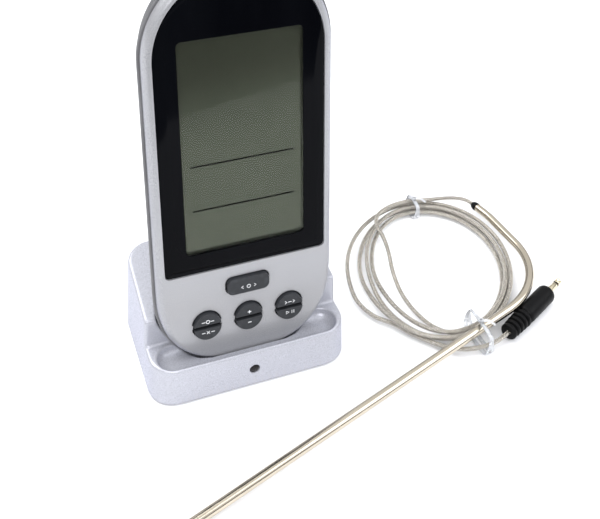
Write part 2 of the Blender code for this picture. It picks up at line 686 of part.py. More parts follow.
def build_receiver_door():
    hinge = (0.0, BACK_DEPTH, DOOR_TOP)
    door = box("receiver_battery_door", (-DOOR_HALF_WIDTH, DOOR_HALF_WIDTH),
               (BACK_DEPTH - DOOR_THICKNESS, BACK_DEPTH), (DOOR_BOTTOM, DOOR_TOP),
               parent=RECEIVER, origin=hinge, material=DARK_PLASTIC)
    grip = box("receiver_door_grip", (-5.0, 5.0), (BACK_DEPTH - 0.6, BACK_DEPTH + 1.0),
               (DOOR_BOTTOM - 1.0, DOOR_BOTTOM + 3.0), parent=RECEIVER, cutter=True)
    cut(door, grip)


def build_display():
    bezel = bezel_solid("display_bezel", BEZEL_HALF_WIDTH, (0.0, BEZEL_THICKNESS), BEZEL_BOTTOM,
                        material=GLOSS_BLACK)
    cut(bezel, screen_plate("screen_hole", 0.0, (-1.0, 2.0), cutter=True))
    screen_plate("display_window", -GAP, (0.1, 0.9), 2.0 - GAP, material=CLEAR)
    screen_plate("lcd_panel", 2.0 - GAP, (1.3, 3.0), material=LCD_GREY)
    frame = screen_plate("lcd_frame", 4.3, (2.5, 5.0), 1.5, material=WHITE_PLASTIC)
    cut(frame, screen_plate("lcd_frame_opening", 2.0, (1.0, 6.0), 0.8, cutter=True))


def build_button(name, centre, outline_at):
    """A rubber button whose crown steps in twice; it travels along the depth direction."""
    crown = ((BUTTON_BACK, 0.0), (-0.75, 0.0), (-1.2, -0.4), (-BUTTON_PROUD, -1.1))
    loops = [at_depth(shifted(outline_at(grow), centre), depth) for depth, grow in crown]
    loft(name, loops, parent=RECEIVER, origin=(centre[0], 0.0, centre[1]), material=RUBBER)


def build_buttons():
    build_button("button_mode", (0.0, MODE_CENTRE), mode_outline)
    for column, x in (("left", -ROUND_BUTTON_PITCH), ("centre", 0.0), ("right", ROUND_BUTTON_PITCH)):
        for row, upper in (("upper", True), ("lower", False)):
            build_button(f"button_{column}_{row}", (x, ROUND_BUTTON_CENTRE),
                         lambda grow, upper=upper: half_moon(upper, grow))


def build_receiver_internals():
    membrane = rounded_rectangle((-19.0, 19.0), (5.5, 31.5), 6.0)
    plate("keypad_membrane", membrane, 4.2, 5.0, "front", parent=RECEIVER, material=RUBBER)
    board = plate("receiver_circuit_board", receiver_outline(25.0, 12), 5.3, 6.5, "front",
                  parent=RECEIVER, material=BOARD_GREEN)
    for index, (x, s) in enumerate(RECEIVER_SCREWS):
        cut(board, rod(f"board_hole_{index}", 3.3, (x, 4.0, s), (x, 8.0, s), 12, parent=RECEIVER,
                       cutter=True))
        profile = ((0.0, 0.0), (0.0, 2.0), (1.4, 2.2), (1.4, 1.1), (8.6, 1.1), (9.4, 0.0))
        turned(f"receiver_screw_{index + 1}", profile, (x, 13.2, s), (0, -1, 0), 12, parent=RECEIVER,
               material=STEEL)
    turned("buzzer", ((0.0, 0.0), (0.0, 6.5), (3.6, 6.5), (4.2, 6.0), (4.2, 1.0), (3.4, 1.0), (3.4, 0.0)),
           (0, 6.8, 24.0), (0, 1, 0), 24, parent=RECEIVER, material=DARK_PLASTIC)
    wire("receiver_antenna", helix((19.0, 10.5, 64.0), (0, 0, 1), 2.2, 2.2, 5, 12.0), 0.35, GOLD,
         RECEIVER, resolution=1)


# Probe ------------------------------------------------------------------------------------


def shaft_plan():
    """The shaft's centre line seen from above: straight, a wide bend, straight, a slight bend."""
    heading = Vector((math.cos(SHAFT_HEADING), math.sin(SHAFT_HEADING)))
    centre = Vector(BEND_CENTRE)
    bend_start = centre + BEND_RADIUS * Vector((heading.y, -heading.x))
    tip = bend_start - heading * SHAFT_STRAIGHT
    plan = [tip + heading * distance for distance in (0.0, 0.6, 3.0, 6.0, SHAFT_POINT, 80.0)]
    for step in range(13):
        angle = SHAFT_HEADING + (BEND_END_HEADING - SHAFT_HEADING) * step / 12
        plan.append(centre + BEND_RADIUS * Vector((math.sin(angle), -math.cos(angle))))
    ahead = Vector((math.cos(BEND_END_HEADING), math.sin(BEND_END_HEADING)))
    plan.append(plan[-1] + ahead * AFTER_BEND)
    steps = 4
    for step in range(1, steps + 1):
        angle = BEND_END_HEADING + SECOND_BEND_TURN * (step - 0.5) / steps
        stride = SECOND_BEND_RADIUS * SECOND_BEND_TURN / steps
        plan.append(plan[-1] + stride * Vector((math.cos(angle), math.sin(angle))))
    last = BEND_END_HEADING + SECOND_BEND_TURN
    plan.append(plan[-1] + SHAFT_TAIL * Vector((math.cos(last), math.sin(last))))
    return plan


def shaft_path():
    """The rigid shaft lies in one sloping plane: it rests on its tip and on the coil."""
    plan = shaft_plan()
    heading = Vector((math.cos(SHAFT_HEADING), math.sin(SHAFT_HEADING)))
    across = Vector((-heading.y, heading.x))
    path = []
    for point in plan:
        run = point - plan[0]
        height = SHAFT_RADIUS + SHAFT_RISE * run.dot(heading) - SHAFT_FALL * max(run.dot(across), 0.0)
        path.append(Vector((point.x, point.y, height)))
    return path


def slot_offset(slot):
    """How far in from the coil's outside a strand runs; slot 0 arrives over the others."""
    return 2.0 if slot == 0 else (5 - slot) * STRAND_PITCH


def slot_height(slot):
    if slot == 0:
        return STRAND_CROSSING
    return STRAND_LOW if slot % 2 else STRAND_HIGH


def coil_point(degrees, inset, left_half_width, height, pinch):
    """A strand's place at an angle; a pinch presses it in at the front left."""
    angle = math.radians(degrees)
    half_width, half_depth = left_half_width, COIL_HALF_DEPTH - inset
    if math.cos(angle) > 0:
        half_width = COIL_HALF_WIDTH - inset
    elif math.sin(angle) < 0:
        pressed = 1.0 - pinch * math.sin(2 * angle) ** 4
        half_width, half_depth = half_width * pressed, half_depth * pressed
    y = COIL_CENTRE[1] + half_depth * math.sin(angle)
    x = COIL_CENTRE[0] + half_width * math.cos(angle) + COIL_SHEAR * (y - COIL_CENTRE[1])
    return Vector((x, y, height))


def coil_path():
    """Five passes down the left side, from the innermost to the outermost, wound anti-clockwise."""
    path = []
    passes = len(COIL_LEFT_HALF_WIDTHS)
    last = 90 + 360 * (passes - 1) + 162
    for degrees in range(72, last + 1, STRAND_STEP_DEGREES):
        turn = min((degrees + 90) // 360, passes - 1)
        local = degrees - 360 * turn
        left = COIL_LEFT_HALF_WIDTHS[turn]
        if turn == 0:
            moved = smooth_step(local, 100.0, 160.0)
            dropped = smooth_step(local, 150.0, 200.0)
            left = COIL_HALF_WIDTH + (left - COIL_HALF_WIDTH) * moved
        else:
            moved = smooth_step(local, 120.0, 240.0)
            dropped = smooth_step(local, 160.0, 205.0)
        inset = slot_offset(turn) + (slot_offset(turn + 1) - slot_offset(turn)) * moved
        height = slot_height(turn) + (slot_height(turn + 1) - slot_height(turn)) * dropped
        pinch = COIL_PINCH if turn == passes - 1 else 0.0
        path.append(coil_point(local, inset, left, height, pinch))
    return path


def plug_axis():
    return Vector((math.cos(PLUG_HEADING), math.sin(PLUG_HEADING), 0.0))


def arc_between(start, start_direction, end, end_direction, steps):
    """A smooth lead between two ends (a cubic with the given directions)."""
    reach = (end - start).length * 0.38
    near = start + start_direction.normalized() * reach
    far = end - end_direction.normalized() * reach
    points = []
    for step in range(1, steps):
        t = step / steps
        u = 1.0 - t
        points.append(u ** 3 * start + 3 * u * u * t * near + 3 * u * t * t * far + t ** 3 * end)
    return points


def cable_path():
    shaft = shaft_path()
    out = (shaft[-1] - shaft[-2]).normalized()
    inside = shaft[-1] - out * 3.0
    leaving = shaft[-1] + out * 3.8
    coil = coil_path()
    rear = Vector((*PLUG_REAR, PLUG_HEIGHT))
    path = [inside, leaving]
    path += arc_between(leaving, out, coil[0], coil[1] - coil[0], 5)
    path += coil
    entry = rear - plug_axis() * 0.5
    path += arc_between(coil[-1], coil[-1] - coil[-2], entry, plug_axis(), 5)
    path += [entry, rear + plug_axis() * 2.4]
    return path


def build_shaft():
    path = shaft_path()
    taper = [0.08, 0.2, 0.55, 0.85] + [1.0] * (len(path) - 4)
    shaft = wire("probe_shaft", path, SHAFT_RADIUS, STEEL, resolution=4, taper=taper)
    heading = (path[5] - path[0]).normalized()
    out = (path[-1] - path[-2]).normalized()
    bore_start = path[0] + heading * 14.0
    bore = [bore_start] + path[5:-1] + [path[-1] + out * 2.0]
    cut(shaft, wire("shaft_bore", bore, SHAFT_BORE, cutter=True, resolution=2))
    rod("probe_sensor", 0.8, path[0] + heading * 14.6, path[0] + heading * 21.0, 12, material=WHITE_PLASTIC)
    collar = ((0.0, 1.7), (2.8, 1.5), (2.8, 1.1), (0.0, 1.1))
    turned("heat_shrink_collar", collar, path[-1] + out * 0.3, out, 16, material=RUBBER)


def build_ties():
    """Clear ties round the bundle: one at the back, one round the bundle, lead and shaft in front."""
    for name, x, centre, half_y, half_z in (
            ("twist_tie_rear", 92.5, (40.6, 3.95), 4.6, 3.55),
            ("twist_tie_front", 82.5, (-32.2, 4.75), 8.2, 4.4)):
        points = [Vector((x, centre[0] + half_y * math.copysign(abs(math.cos(a)) ** 0.5, math.cos(a)),
                          centre[1] + half_z * math.copysign(abs(math.sin(a)) ** 0.5, math.sin(a))))
                  for a in [2 * math.pi * step / 24 for step in range(24)]]
        wire(name, points, TIE_WIRE, CLEAR, closed=True, resolution=1)


def build_plug():
    rear = Vector((*PLUG_REAR, PLUG_HEIGHT))
    axis = plug_axis()
    profile = [(2.9, 0.0), (2.9, 1.15), (0.0, 1.15), (0.0, 2.8)]
    for rib in range(5):
        start = 0.5 + rib * 2.2
        radius = 3.05 + 0.12 * rib
        profile += [(start, radius), (start + 1.1, radius), (start + 1.3, radius - 0.8),
                    (start + 2.0, radius - 0.8)]
    profile += [(11.8, PLUG_RADIUS - 0.1), (PLUG_LENGTH - 1.2, PLUG_RADIUS), (PLUG_LENGTH, PLUG_RADIUS - 1.0),
                (PLUG_LENGTH, PIN_RADIUS + GAP), (PLUG_LENGTH - PIN_INSERT - GAP, PIN_RADIUS + GAP),
                (PLUG_LENGTH - PIN_INSERT - GAP, 0.0)]
    turned("plug_body", profile, rear, axis, 20, material=RUBBER)
    nose = rear + axis * (PLUG_LENGTH - PIN_INSERT)
    bore = 0.75
    turned("plug_sleeve", ((0.0, PIN_RADIUS), (9.8, PIN_RADIUS), (9.8, bore), (0.0, bore)), nose, axis, 16,
           material=GOLD)
    turned("plug_insulator", ((0.0, PIN_RADIUS), (0.5, PIN_RADIUS), (0.5, bore), (0.0, bore)),
           nose + axis * 10.1, axis, 16, material=RUBBER)
    tip = ((0.0, 0.0), (0.0, 0.45), (8.4, 0.45), (8.4, PIN_RADIUS), (9.0, PIN_RADIUS), (9.4, 0.9),
           (9.8, PIN_RADIUS), (10.6, 0.9), (11.2, 0.0))
    turned("plug_tip", tip, nose + axis * 2.5, axis, 16, material=GOLD)


def build_probe():
    build_shaft()
    wire("braided_cable", cable_path(), CABLE_RADIUS, BRAID)
    build_ties()
    build_plug()


build_housing()
build_cover()
build_base_internals()
build_power_switch()
build_rear_door()
build_base_cells()
build_front_shell()
build_band()
build_back_shell()
build_receiver_door()
build_display()
build_buttons()
build_receiver_internals()
build_receiver_cells()
build_probe()
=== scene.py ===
"""Looks for the wireless meat thermometer: a silver receiver standing in its transmitter base, and
a bent steel probe with a coiled braided cable and a 2.5 mm plug, on a pale studio floor.

Lengths are in millimetres until MM turns them into metres. The receiver's pieces are made in its own
leaning frame: x across, y behind its front face and z up along that face.
"""
import math

import bmesh
import bpy
import numpy as np
from mathutils import Matrix, Vector


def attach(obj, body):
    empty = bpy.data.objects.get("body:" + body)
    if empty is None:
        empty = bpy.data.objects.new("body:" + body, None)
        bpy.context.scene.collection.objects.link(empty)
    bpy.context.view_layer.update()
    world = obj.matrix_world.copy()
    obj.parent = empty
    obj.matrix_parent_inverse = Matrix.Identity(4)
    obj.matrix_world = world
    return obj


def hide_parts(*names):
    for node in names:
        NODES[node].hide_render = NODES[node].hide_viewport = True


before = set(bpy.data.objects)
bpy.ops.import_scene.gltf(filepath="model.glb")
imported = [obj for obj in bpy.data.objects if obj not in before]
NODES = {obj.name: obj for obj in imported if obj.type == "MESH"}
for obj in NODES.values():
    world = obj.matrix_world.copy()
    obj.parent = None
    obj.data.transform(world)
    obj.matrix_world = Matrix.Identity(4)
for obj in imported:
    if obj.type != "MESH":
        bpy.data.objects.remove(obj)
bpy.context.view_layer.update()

MM = 0.001
SCENE = bpy.context.scene

# Receiver
LEAN = math.radians(5.55)
RECEIVER_ORIGIN = (0.0, -18.0, 11.4)
TOP_CENTRE = 109.0
BOTTOM_CENTRE = 27.5
BACK_DEPTH = 20.4
BEZEL_HALF_WIDTH = 27.2
BEZEL_BOTTOM = 33.9
SCREEN = ((-20.0, 20.0), (41.15, 115.55))
MODE_CENTRE = (0.0, 26.25)
ROUND_CENTRE = 13.18
ROUND_PITCH = 14.41
ROUND_HALF = (4.75, 5.1)
SLOT = 1.2
SCREW_PLACES = ((-13.0, 126.0), (13.0, 126.0), (-22.5, 27.0), (22.5, 27.0))
RECEIVER_DOOR = ((-12.9, 12.9), (50.6, 105.4))
DOOR_THICKNESS = 1.4
GAP = 0.3
LCD_LINES = (72.45, 56.45)
LCD_LINE_HALF = (17.1, 0.22)

# Base
BASE_WIDTH = 70.0
BASE_DEPTH = 49.4
BASE_CORNER = 9.0
BASE_DRAFT = math.radians(2.2)
HOUSING_BOTTOM = 0.6
LEDGE_HEIGHT = 14.7
BLOCK_FRONT_Y = -10.4
BLOCK_HEIGHTS = (25.5, 31.4)
BASE_WALLS = (1.8, 3.0)
TROUGH = ((-31.5, 31.5), (-22.9, -12.3))
TROUGH_CORNER = 5.2
TROUGH_FLOOR = 11.2
SKIN_VOXEL = 0.32
PORT_Y = 11.5
REAR_DOOR = ((-26.5, 26.5), (4.6, 28.2))
PAD_SIZE = (48.0, 34.0)

# Probe
SHAFT_RADIUS = 1.65
SHAFT_HEADING = math.radians(17.1)
SHAFT_STRAIGHT = 153.0
SHAFT_POINT = 9.0
BEND_CENTRE = (86.6, 3.0)
BEND_RADIUS = 33.1
BEND_END = math.radians(91.1)
AFTER_BEND = 17.0
SECOND_RADIUS = 40.0
SECOND_TURN = math.radians(8.3)
SHAFT_TAIL = 4.0
SHAFT_RISE = 0.036
SHAFT_FALL = 0.084
COIL_CENTRE = (83.0, 5.8)
COIL_HALF = (33.5, 38.2)
COIL_SHEAR = 0.17
COIL_LEFT = (16.2, 23.5, 25.9, 29.0, 34.5)
COIL_PINCH = 0.12
STRAND_PITCH = 1.15
STRAND_HEIGHTS = (1.9, 3.9, 6.2)
PLUG_REAR = (92.6, -35.4, 3.7)
PLUG_HEADING = math.radians(27.0)
PLUG_AXIS = Vector((math.cos(PLUG_HEADING), math.sin(PLUG_HEADING), 0.0))
PLUG_LENGTH = 28.6
PLUG_RADIUS = 3.6
PIN_RADIUS = 1.25
PIN_INSERT = 4.2
CABLE_LEAD = 3.8
CORE_RADIUS = 0.69

# Braid
BRAID_CARRIERS = 6
BRAID_LAY = 5.4
BRAID_RADIUS = 0.74
BRAID_WAVE = 0.06
RIBBON_WIDTH = 0.50
RIBBON_CROWN = 0.05


# Materials --------------------------------------------------------------------------------


# What silver paint darkens to where it is seen edge-on
FLOP_SHADE = (0.26, 0.27, 0.34, 1.0)
NOISE_ROUGHNESS = 0.55
# The part of a noise texture's range that is spread over a setting's own range
NOISE_RANGE = (0.3, 0.7)


class Shader:
    """A node material with a Principled BSDF, and short ways to add the nodes that drive it."""

    def __init__(self, name, **inputs):
        self.material = bpy.data.materials.new(name)
        self.material.use_nodes = True
        self.tree = self.material.node_tree
        self.bsdf = self.tree.nodes["Principled BSDF"]
        self.place = self.tree.nodes.new("ShaderNodeTexCoord").outputs["Object"]
        for key, value in inputs.items():
            self.bsdf.inputs[key.replace("_", " ")].default_value = value

    def node(self, kind, settings=None, **inputs):
        node = self.tree.nodes.new(kind)
        for key, value in (settings or {}).items():
            setattr(node, key, value)
        for key, value in inputs.items():
            self.feed(node.inputs[key.replace("_", " ")], value)
        return node

    def feed(self, socket, value):
        if isinstance(value, bpy.types.NodeSocket):
            self.tree.links.new(value, socket)
        else:
            socket.default_value = value

    def noise(self, scale, detail=3.0, stretch=(1.0, 1.0, 1.0)):
        mapping = self.node("ShaderNodeMapping", Vector=self.place, Scale=stretch)
        return self.node("ShaderNodeTexNoise", Vector=mapping.outputs[0], Scale=scale, Detail=detail,
                         Roughness=NOISE_ROUGHNESS).outputs["Fac"]

    def spread(self, value, low, high):
        return self.node("ShaderNodeMapRange", Value=value, From_Min=NOISE_RANGE[0],
                         From_Max=NOISE_RANGE[1], To_Min=low, To_Max=high).outputs["Result"]

    def ramp(self, value, *stops):
        node = self.node("ShaderNodeValToRGB", Fac=value)
        elements = node.color_ramp.elements
        while len(elements) < len(stops):
            elements.new(0.5)
        for element, (position, colour) in zip(elements, stops):
            element.position = position
            element.color = (*colour, 1.0)
        return node.outputs["Color"]

    def maths(self, operation, first, second=0.0):
        node = self.node("ShaderNodeMath", {"operation": operation})
        self.feed(node.inputs[0], first)
        self.feed(node.inputs[1], second)
        return node.outputs[0]

    def bump(self, height, strength, distance):
        """Adds to any bump already there."""
        node = self.node("ShaderNodeBump", Height=height, Strength=strength, Distance=distance * MM)
        before = self.bsdf.inputs["Normal"].links
        if before:
            self.tree.links.new(before[0].from_socket, node.inputs["Normal"])
        self.tree.links.new(node.outputs[0], self.bsdf.inputs["Normal"])

    def colour(self, value):
        self.feed(self.bsdf.inputs["Base Color"], value)

    def rough(self, value):
        self.feed(self.bsdf.inputs["Roughness"], value)


def tinted(colour, factor):
    return tuple(part * factor for part in colour)


def make_silver(name, colour):
    """Silver paint on plastic: fine flakes, a slight orange peel, and darker where seen edge-on."""
    paint = Shader(name, Metallic=0.30, Specular_IOR_Level=0.3, Specular_Tint=(0.72, 0.74, 0.90, 1.0))
    cloud = paint.noise(90.0, 3.0)
    flakes = paint.noise(5200.0, 2.0)
    mixed = paint.maths("ADD", paint.maths("MULTIPLY", cloud, 0.12), paint.maths("MULTIPLY", flakes, 0.88))
    tone = paint.ramp(mixed, (0.30, tinted(colour, 0.86)), (0.50, colour), (0.70, tinted(colour, 1.12)))
    facing = paint.node("ShaderNodeLayerWeight", Blend=0.5).outputs["Facing"]
    edge_on = paint.maths("MULTIPLY", paint.maths("POWER", facing, 5.0), 0.8)
    shaded = paint.node("ShaderNodeMix", {"data_type": "RGBA"}, Factor=edge_on, A=tone, B=FLOP_SHADE)
    paint.colour(shaded.outputs["Result"])
    paint.rough(paint.spread(flakes, 0.22, 0.34))
    paint.bump(flakes, 0.16, 0.04)
    paint.bump(paint.noise(900.0, 2.0), 0.06, 0.06)
    return paint.material


def make_moulded(name, colour, roughness):
    """Moulded plastic with an etched grain and faint handling marks."""
    plastic = Shader(name)
    fine = plastic.noise(2600.0, 3.0)
    broad = plastic.noise(70.0, 3.0)
    plastic.colour(plastic.ramp(broad, (0.35, tinted(colour, 0.85)), (0.65, tinted(colour, 1.18))))
    plastic.rough(plastic.spread(broad, roughness - 0.07, roughness + 0.07))
    plastic.bump(fine, 0.3, 0.05)
    return plastic.material


def make_gloss_black():
    gloss = Shader("gloss_black_panel", Specular_IOR_Level=0.05)
    smear = gloss.noise(38.0, 3.0, (1.0, 1.0, 0.35))
    gloss.colour(gloss.ramp(smear, (0.4, (0.0012, 0.0014, 0.0022)), (0.6, (0.0022, 0.0025, 0.0035))))
    gloss.rough(gloss.spread(smear, 0.03, 0.09))
    gloss.bump(gloss.noise(22.0, 1.0), 0.02, 0.3)
    return gloss.material


def make_window():
    """A clear pane as a thin mirror-like film, so that the panel behind it stays crisp."""
    pane = Shader("clear_screen_pane")
    tree = pane.tree
    clear = tree.nodes.new("ShaderNodeBsdfTransparent")
    clear.inputs["Color"].default_value = (0.94, 0.955, 0.945, 1.0)
    mirror = tree.nodes.new("ShaderNodeBsdfGlossy")
    pane.feed(mirror.inputs["Roughness"], pane.spread(pane.noise(60.0), 0.015, 0.05))
    fresnel = tree.nodes.new("ShaderNodeFresnel")
    fresnel.inputs["IOR"].default_value = 1.14
    mix = tree.nodes.new("ShaderNodeMixShader")
    tree.links.new(fresnel.outputs[0], mix.inputs[0])
    tree.links.new(clear.outputs[0], mix.inputs[1])
    tree.links.new(mirror.outputs[0], mix.inputs[2])
    tree.links.new(mix.outputs[0], tree.nodes["Material Output"].inputs["Surface"])
    return pane.material


def make_lcd():
    """An unlit liquid crystal panel: a grey-green film over a soft reflector."""
    lcd = Shader("lcd_film", Metallic=0.62, Specular_IOR_Level=0.3)
    cloud = lcd.noise(26.0, 2.0)
    lcd.colour(lcd.ramp(cloud, (0.35, (0.076, 0.080, 0.059)), (0.65, (0.083, 0.087, 0.065))))
    lcd.rough(lcd.spread(cloud, 0.17, 0.20))
    return lcd.material


def make_rubber(name, colour, roughness=0.5, shine=0.22):
    rubber = Shader(name, Specular_IOR_Level=shine)
    fine = rubber.noise(3400.0, 3.0)
    dust = rubber.noise(520.0, 4.0)
    rubber.colour(rubber.ramp(dust, (0.42, tinted(colour, 0.86)), (0.58, colour),
                              (0.74, tinted(colour, 1.35))))
    rubber.rough(rubber.spread(dust, roughness - 0.08, roughness + 0.1))
    rubber.bump(fine, 0.32, 0.04)
    return rubber.material


def make_steel(name, colour, roughness, stretch=(1.0, 1.0, 1.0)):
    """Bright metal with fine drawing marks and a faint warm stain."""
    steel = Shader(name, Metallic=1.0)
    scratches = steel.noise(1500.0, 4.0, stretch)
    stain = steel.noise(48.0, 3.0)
    steel.colour(steel.ramp(stain, (0.38, tinted(colour, 0.90)), (0.62, colour)))
    steel.rough(steel.spread(scratches, roughness * 0.75, roughness * 1.4))
    steel.bump(scratches, 0.08, 0.03)
    return steel.material


def make_braid():
    """The braid's flat wires: bright where they bulge, with a tan oxide in between."""
    braid = Shader("braid_wire_steel", Metallic=1.0)
    grime = braid.noise(2600.0, 3.0)
    braid.colour(braid.ramp(grime, (0.34, (0.42, 0.39, 0.34)), (0.52, (0.54, 0.51, 0.46)),
                            (0.70, (0.70, 0.68, 0.64))))
    braid.rough(braid.spread(grime, 0.12, 0.26))
    wires = braid.noise(4200.0, 2.0)
    braid.bump(wires, 0.25, 0.04)
    return braid.material


def make_clear_tie():
    """Crinkled, milky clear plastic."""
    tie = Shader("clear_tie_film", Transmission_Weight=0.65, IOR=1.45, Specular_IOR_Level=0.8)
    crinkle = tie.noise(700.0, 3.0)
    tie.colour(tie.ramp(crinkle, (0.35, (0.80, 0.82, 0.85)), (0.65, (0.97, 0.98, 1.0))))
    tie.rough(tie.spread(crinkle, 0.10, 0.30))
    tie.bump(crinkle, 0.6, 0.15)
    return tie.material


def make_board():
    board = Shader("board_laminate", Coat_Weight=0.4, Coat_Roughness=0.25)
    tracks = board.node("ShaderNodeTexBrick", {"offset": 0.5}, Vector=board.place, Scale=260.0,
                        Mortar_Size=0.035, Color1=(0.012, 0.115, 0.040, 1.0),
                        Color2=(0.016, 0.150, 0.055, 1.0), Mortar=(0.05, 0.30, 0.12, 1.0))
    board.colour(tracks.outputs["Color"])
    board.rough(board.spread(board.noise(800.0), 0.35, 0.5))
    board.bump(tracks.outputs["Fac"], 0.3, 0.03)
    return board.material


def make_cell_wrap(name, axis, positive_end, direction):
    """A plain two-tone wrap: dark blue-green with a copper band at the positive end, bare steel ends."""
    wrap = Shader(name)
    parts = wrap.node("ShaderNodeSeparateXYZ", Vector=wrap.place)
    along = wrap.maths("MULTIPLY", wrap.maths("SUBTRACT", parts.outputs[axis], positive_end * MM),
                       direction / MM)
    share = wrap.maths("DIVIDE", along, 45.0)
    wrap.colour(wrap.ramp(share, (0.00, (0.60, 0.58, 0.54)), (0.045, (0.62, 0.30, 0.12)),
                          (0.24, (0.015, 0.055, 0.075)), (0.985, (0.50, 0.50, 0.49))))
    wrap.tree.nodes["Color Ramp"].color_ramp.interpolation = "CONSTANT"
    wrap.rough(wrap.spread(wrap.noise(300.0), 0.22, 0.34))
    wrap.bsdf.inputs["Metallic"].default_value = 0.5
    return wrap.material


def make_floor():
    floor = Shader("pale_floor_paper", Specular_IOR_Level=0.1)
    cloud = floor.noise(3.0, 2.0)
    floor.colour(floor.ramp(cloud, (0.3, (0.90, 0.905, 0.915)), (0.7, (0.92, 0.922, 0.93))))
    floor.rough(floor.spread(cloud, 0.75, 0.9))
    floor.bump(floor.noise(700.0, 3.0), 0.05, 0.1)
    return floor.material


SILVER = make_silver("base_silver_paint", (0.455, 0.461, 0.503))
RECEIVER_SILVER = make_silver("receiver_silver_paint", (0.35, 0.352, 0.364))
DARK = make_moulded("charcoal_plastic", (0.052, 0.054, 0.058), 0.46)
BAND_GREY = make_moulded("band_plastic", (0.135, 0.135, 0.140), 0.42)
WHITE = make_moulded("white_moulding", (0.72, 0.72, 0.70), 0.5)
GLOSS = make_gloss_black()
WINDOW = make_window()
LCD = make_lcd()
RUBBER = make_rubber("key_rubber", (0.030, 0.032, 0.036), 0.38)
BLACK_RUBBER = make_rubber("black_rubber", (0.003, 0.003, 0.0034), 0.42, 0.11)
STEEL = make_steel("polished_steel_tube", (0.62, 0.555, 0.45), 0.15, (0.1, 1.0, 1.0))
FITTING = make_steel("plated_fittings", (0.70, 0.69, 0.66), 0.25)
GOLD = make_steel("pale_gold_plating", (0.86, 0.77, 0.56), 0.20)
BRAID = make_braid()
CORE = make_moulded("braid_core", (0.030, 0.028, 0.024), 0.6)
CLEAR_TIE = make_clear_tie()
BOARD = make_board()
SMOKED = make_rubber("smoked_lens", (0.012, 0.010, 0.011), 0.22)
LEGEND = make_moulded("legend_print", (0.62, 0.63, 0.64), 0.55)
LCD_INK = make_rubber("lcd_ink", (0.002, 0.002, 0.002), 0.8, 0.02)


# Outlines ---------------------------------------------------------------------------------


def grown(ranges, grow):
    return tuple((low - grow, high + grow) for low, high in ranges)


def quarter_turn(steps, first=0):
    """The angles of a right angle taken in equal steps."""
    return [math.radians(90.0 * step / steps) for step in range(first, steps + 1)]


def rounded_rectangle(x_range, v_range, radius, segments=8):
    points = []
    corners = ((x_range[1], v_range[1]), (x_range[0], v_range[1]),
               (x_range[0], v_range[0]), (x_range[1], v_range[0]))
    for quarter, (x, v) in enumerate(corners):
        centre_x = x - math.copysign(radius, x - sum(x_range) / 2)
        centre_v = v - math.copysign(radius, v - sum(v_range) / 2)
        for step in range(segments + 1):
            angle = math.radians(90.0 * (quarter + step / segments))
            points.append((centre_x + radius * math.cos(angle), centre_v + radius * math.sin(angle)))
    return points


def receiver_outline(half_width, segments=56):
    points = []
    for step in range(segments + 1):
        angle = math.pi * step / segments
        points.append((half_width * math.cos(angle), TOP_CENTRE + half_width * math.sin(angle)))
    for step in range(segments + 1):
        angle = math.pi * (1.0 + step / segments)
        across = math.copysign(abs(math.cos(angle)) ** 0.8, math.cos(angle))
        down = abs(math.sin(angle)) ** 0.8
        points.append((half_width * across, BOTTOM_CENTRE - (half_width + 1.0) * down))
    return points


def bezel_outline(inset):
    """The face panel: round at the top, straight sides and a flat bottom edge with small corners."""
    half = BEZEL_HALF_WIDTH - inset
    points = []
    for step in range(73):
        angle = math.pi * step / 72
        points.append((half * math.cos(angle), TOP_CENTRE + half * math.sin(angle)))
    corner = max(1.5 - inset, 0.2)
    bottom = BEZEL_BOTTOM + inset
    for side, start in ((-1, 180.0), (1, 270.0)):
        for step in range(9):
            angle = math.radians(start + 90.0 * step / 8)
            points.append((side * (half - corner) + corner * math.cos(angle),
                           bottom + corner + corner * math.sin(angle)))
    return points


def half_moon(upper):
    half_width, half_height = ROUND_HALF
    start = math.asin(SLOT / 2 / half_height)
    side = 1.0 if upper else -1.0
    points = []
    for step in range(29):
        angle = start + (math.pi - 2 * start) * step / 28
        points.append((half_width * math.cos(angle), side * half_height * math.sin(angle)))
    return points if upper else points[::-1]


def notched_ellipse(grow):
    """A round button's opening, with a small tab of the shell left at each end of the slot."""
    points = []
    for step in range(96):
        angle = 2 * math.pi * (step + 0.5) / 96
        x = (ROUND_HALF[0] + grow) * math.cos(angle)
        v = (ROUND_HALF[1] + grow) * math.sin(angle)
        if abs(v) < SLOT / 2:
            x = math.copysign(ROUND_HALF[0] - 0.45 + grow, x)
        points.append((x, v))
    return points


def shifted(points, centre):
    return [(x + centre[0], v + centre[1]) for x, v in points]


def smooth_path(points, step):
    """Points about a step apart along a Catmull-Rom curve through the given ones."""
    points = [np.array(point, float) for point in points]
    count = len(points)
    path = []
    for index in range(count - 1):
        b, c = points[index], points[index + 1]
        a = points[index - 1] if index else 2 * b - c
        d = points[index + 2] if index + 2 < count else 2 * c - b
        pieces = max(1, round(float(np.linalg.norm(c - b)) / step))
        for piece in range(pieces):
            t = piece / pieces
            path.append(0.5 * (2 * b + (c - a) * t + (2 * a - 5 * b + 4 * c - d) * t * t
                               + (3 * b - a - 3 * c + d) * t ** 3))
    path.append(points[-1])
    return np.array(path)


# Meshes -----------------------------------------------------------------------------------

RECEIVER_FRAME = Matrix.Translation(Vector(RECEIVER_ORIGIN) * MM) @ Matrix.Rotation(-LEAN, 4, "X")
REAR_FRAME = Matrix.Translation((0.0, BASE_DEPTH / 2 * MM, 0.0)) @ Matrix.Rotation(BASE_DRAFT, 4, "X")
UPRIGHT = Matrix.Rotation(math.radians(90.0), 4, "X")
SIDEWAYS = Matrix.Rotation(math.radians(90.0), 4, "Z") @ UPRIGHT
LEVEL = Matrix.Identity(4)


def on_receiver(x, depth, s):
    return RECEIVER_FRAME @ (Vector((x, depth, s)) * MM) / MM


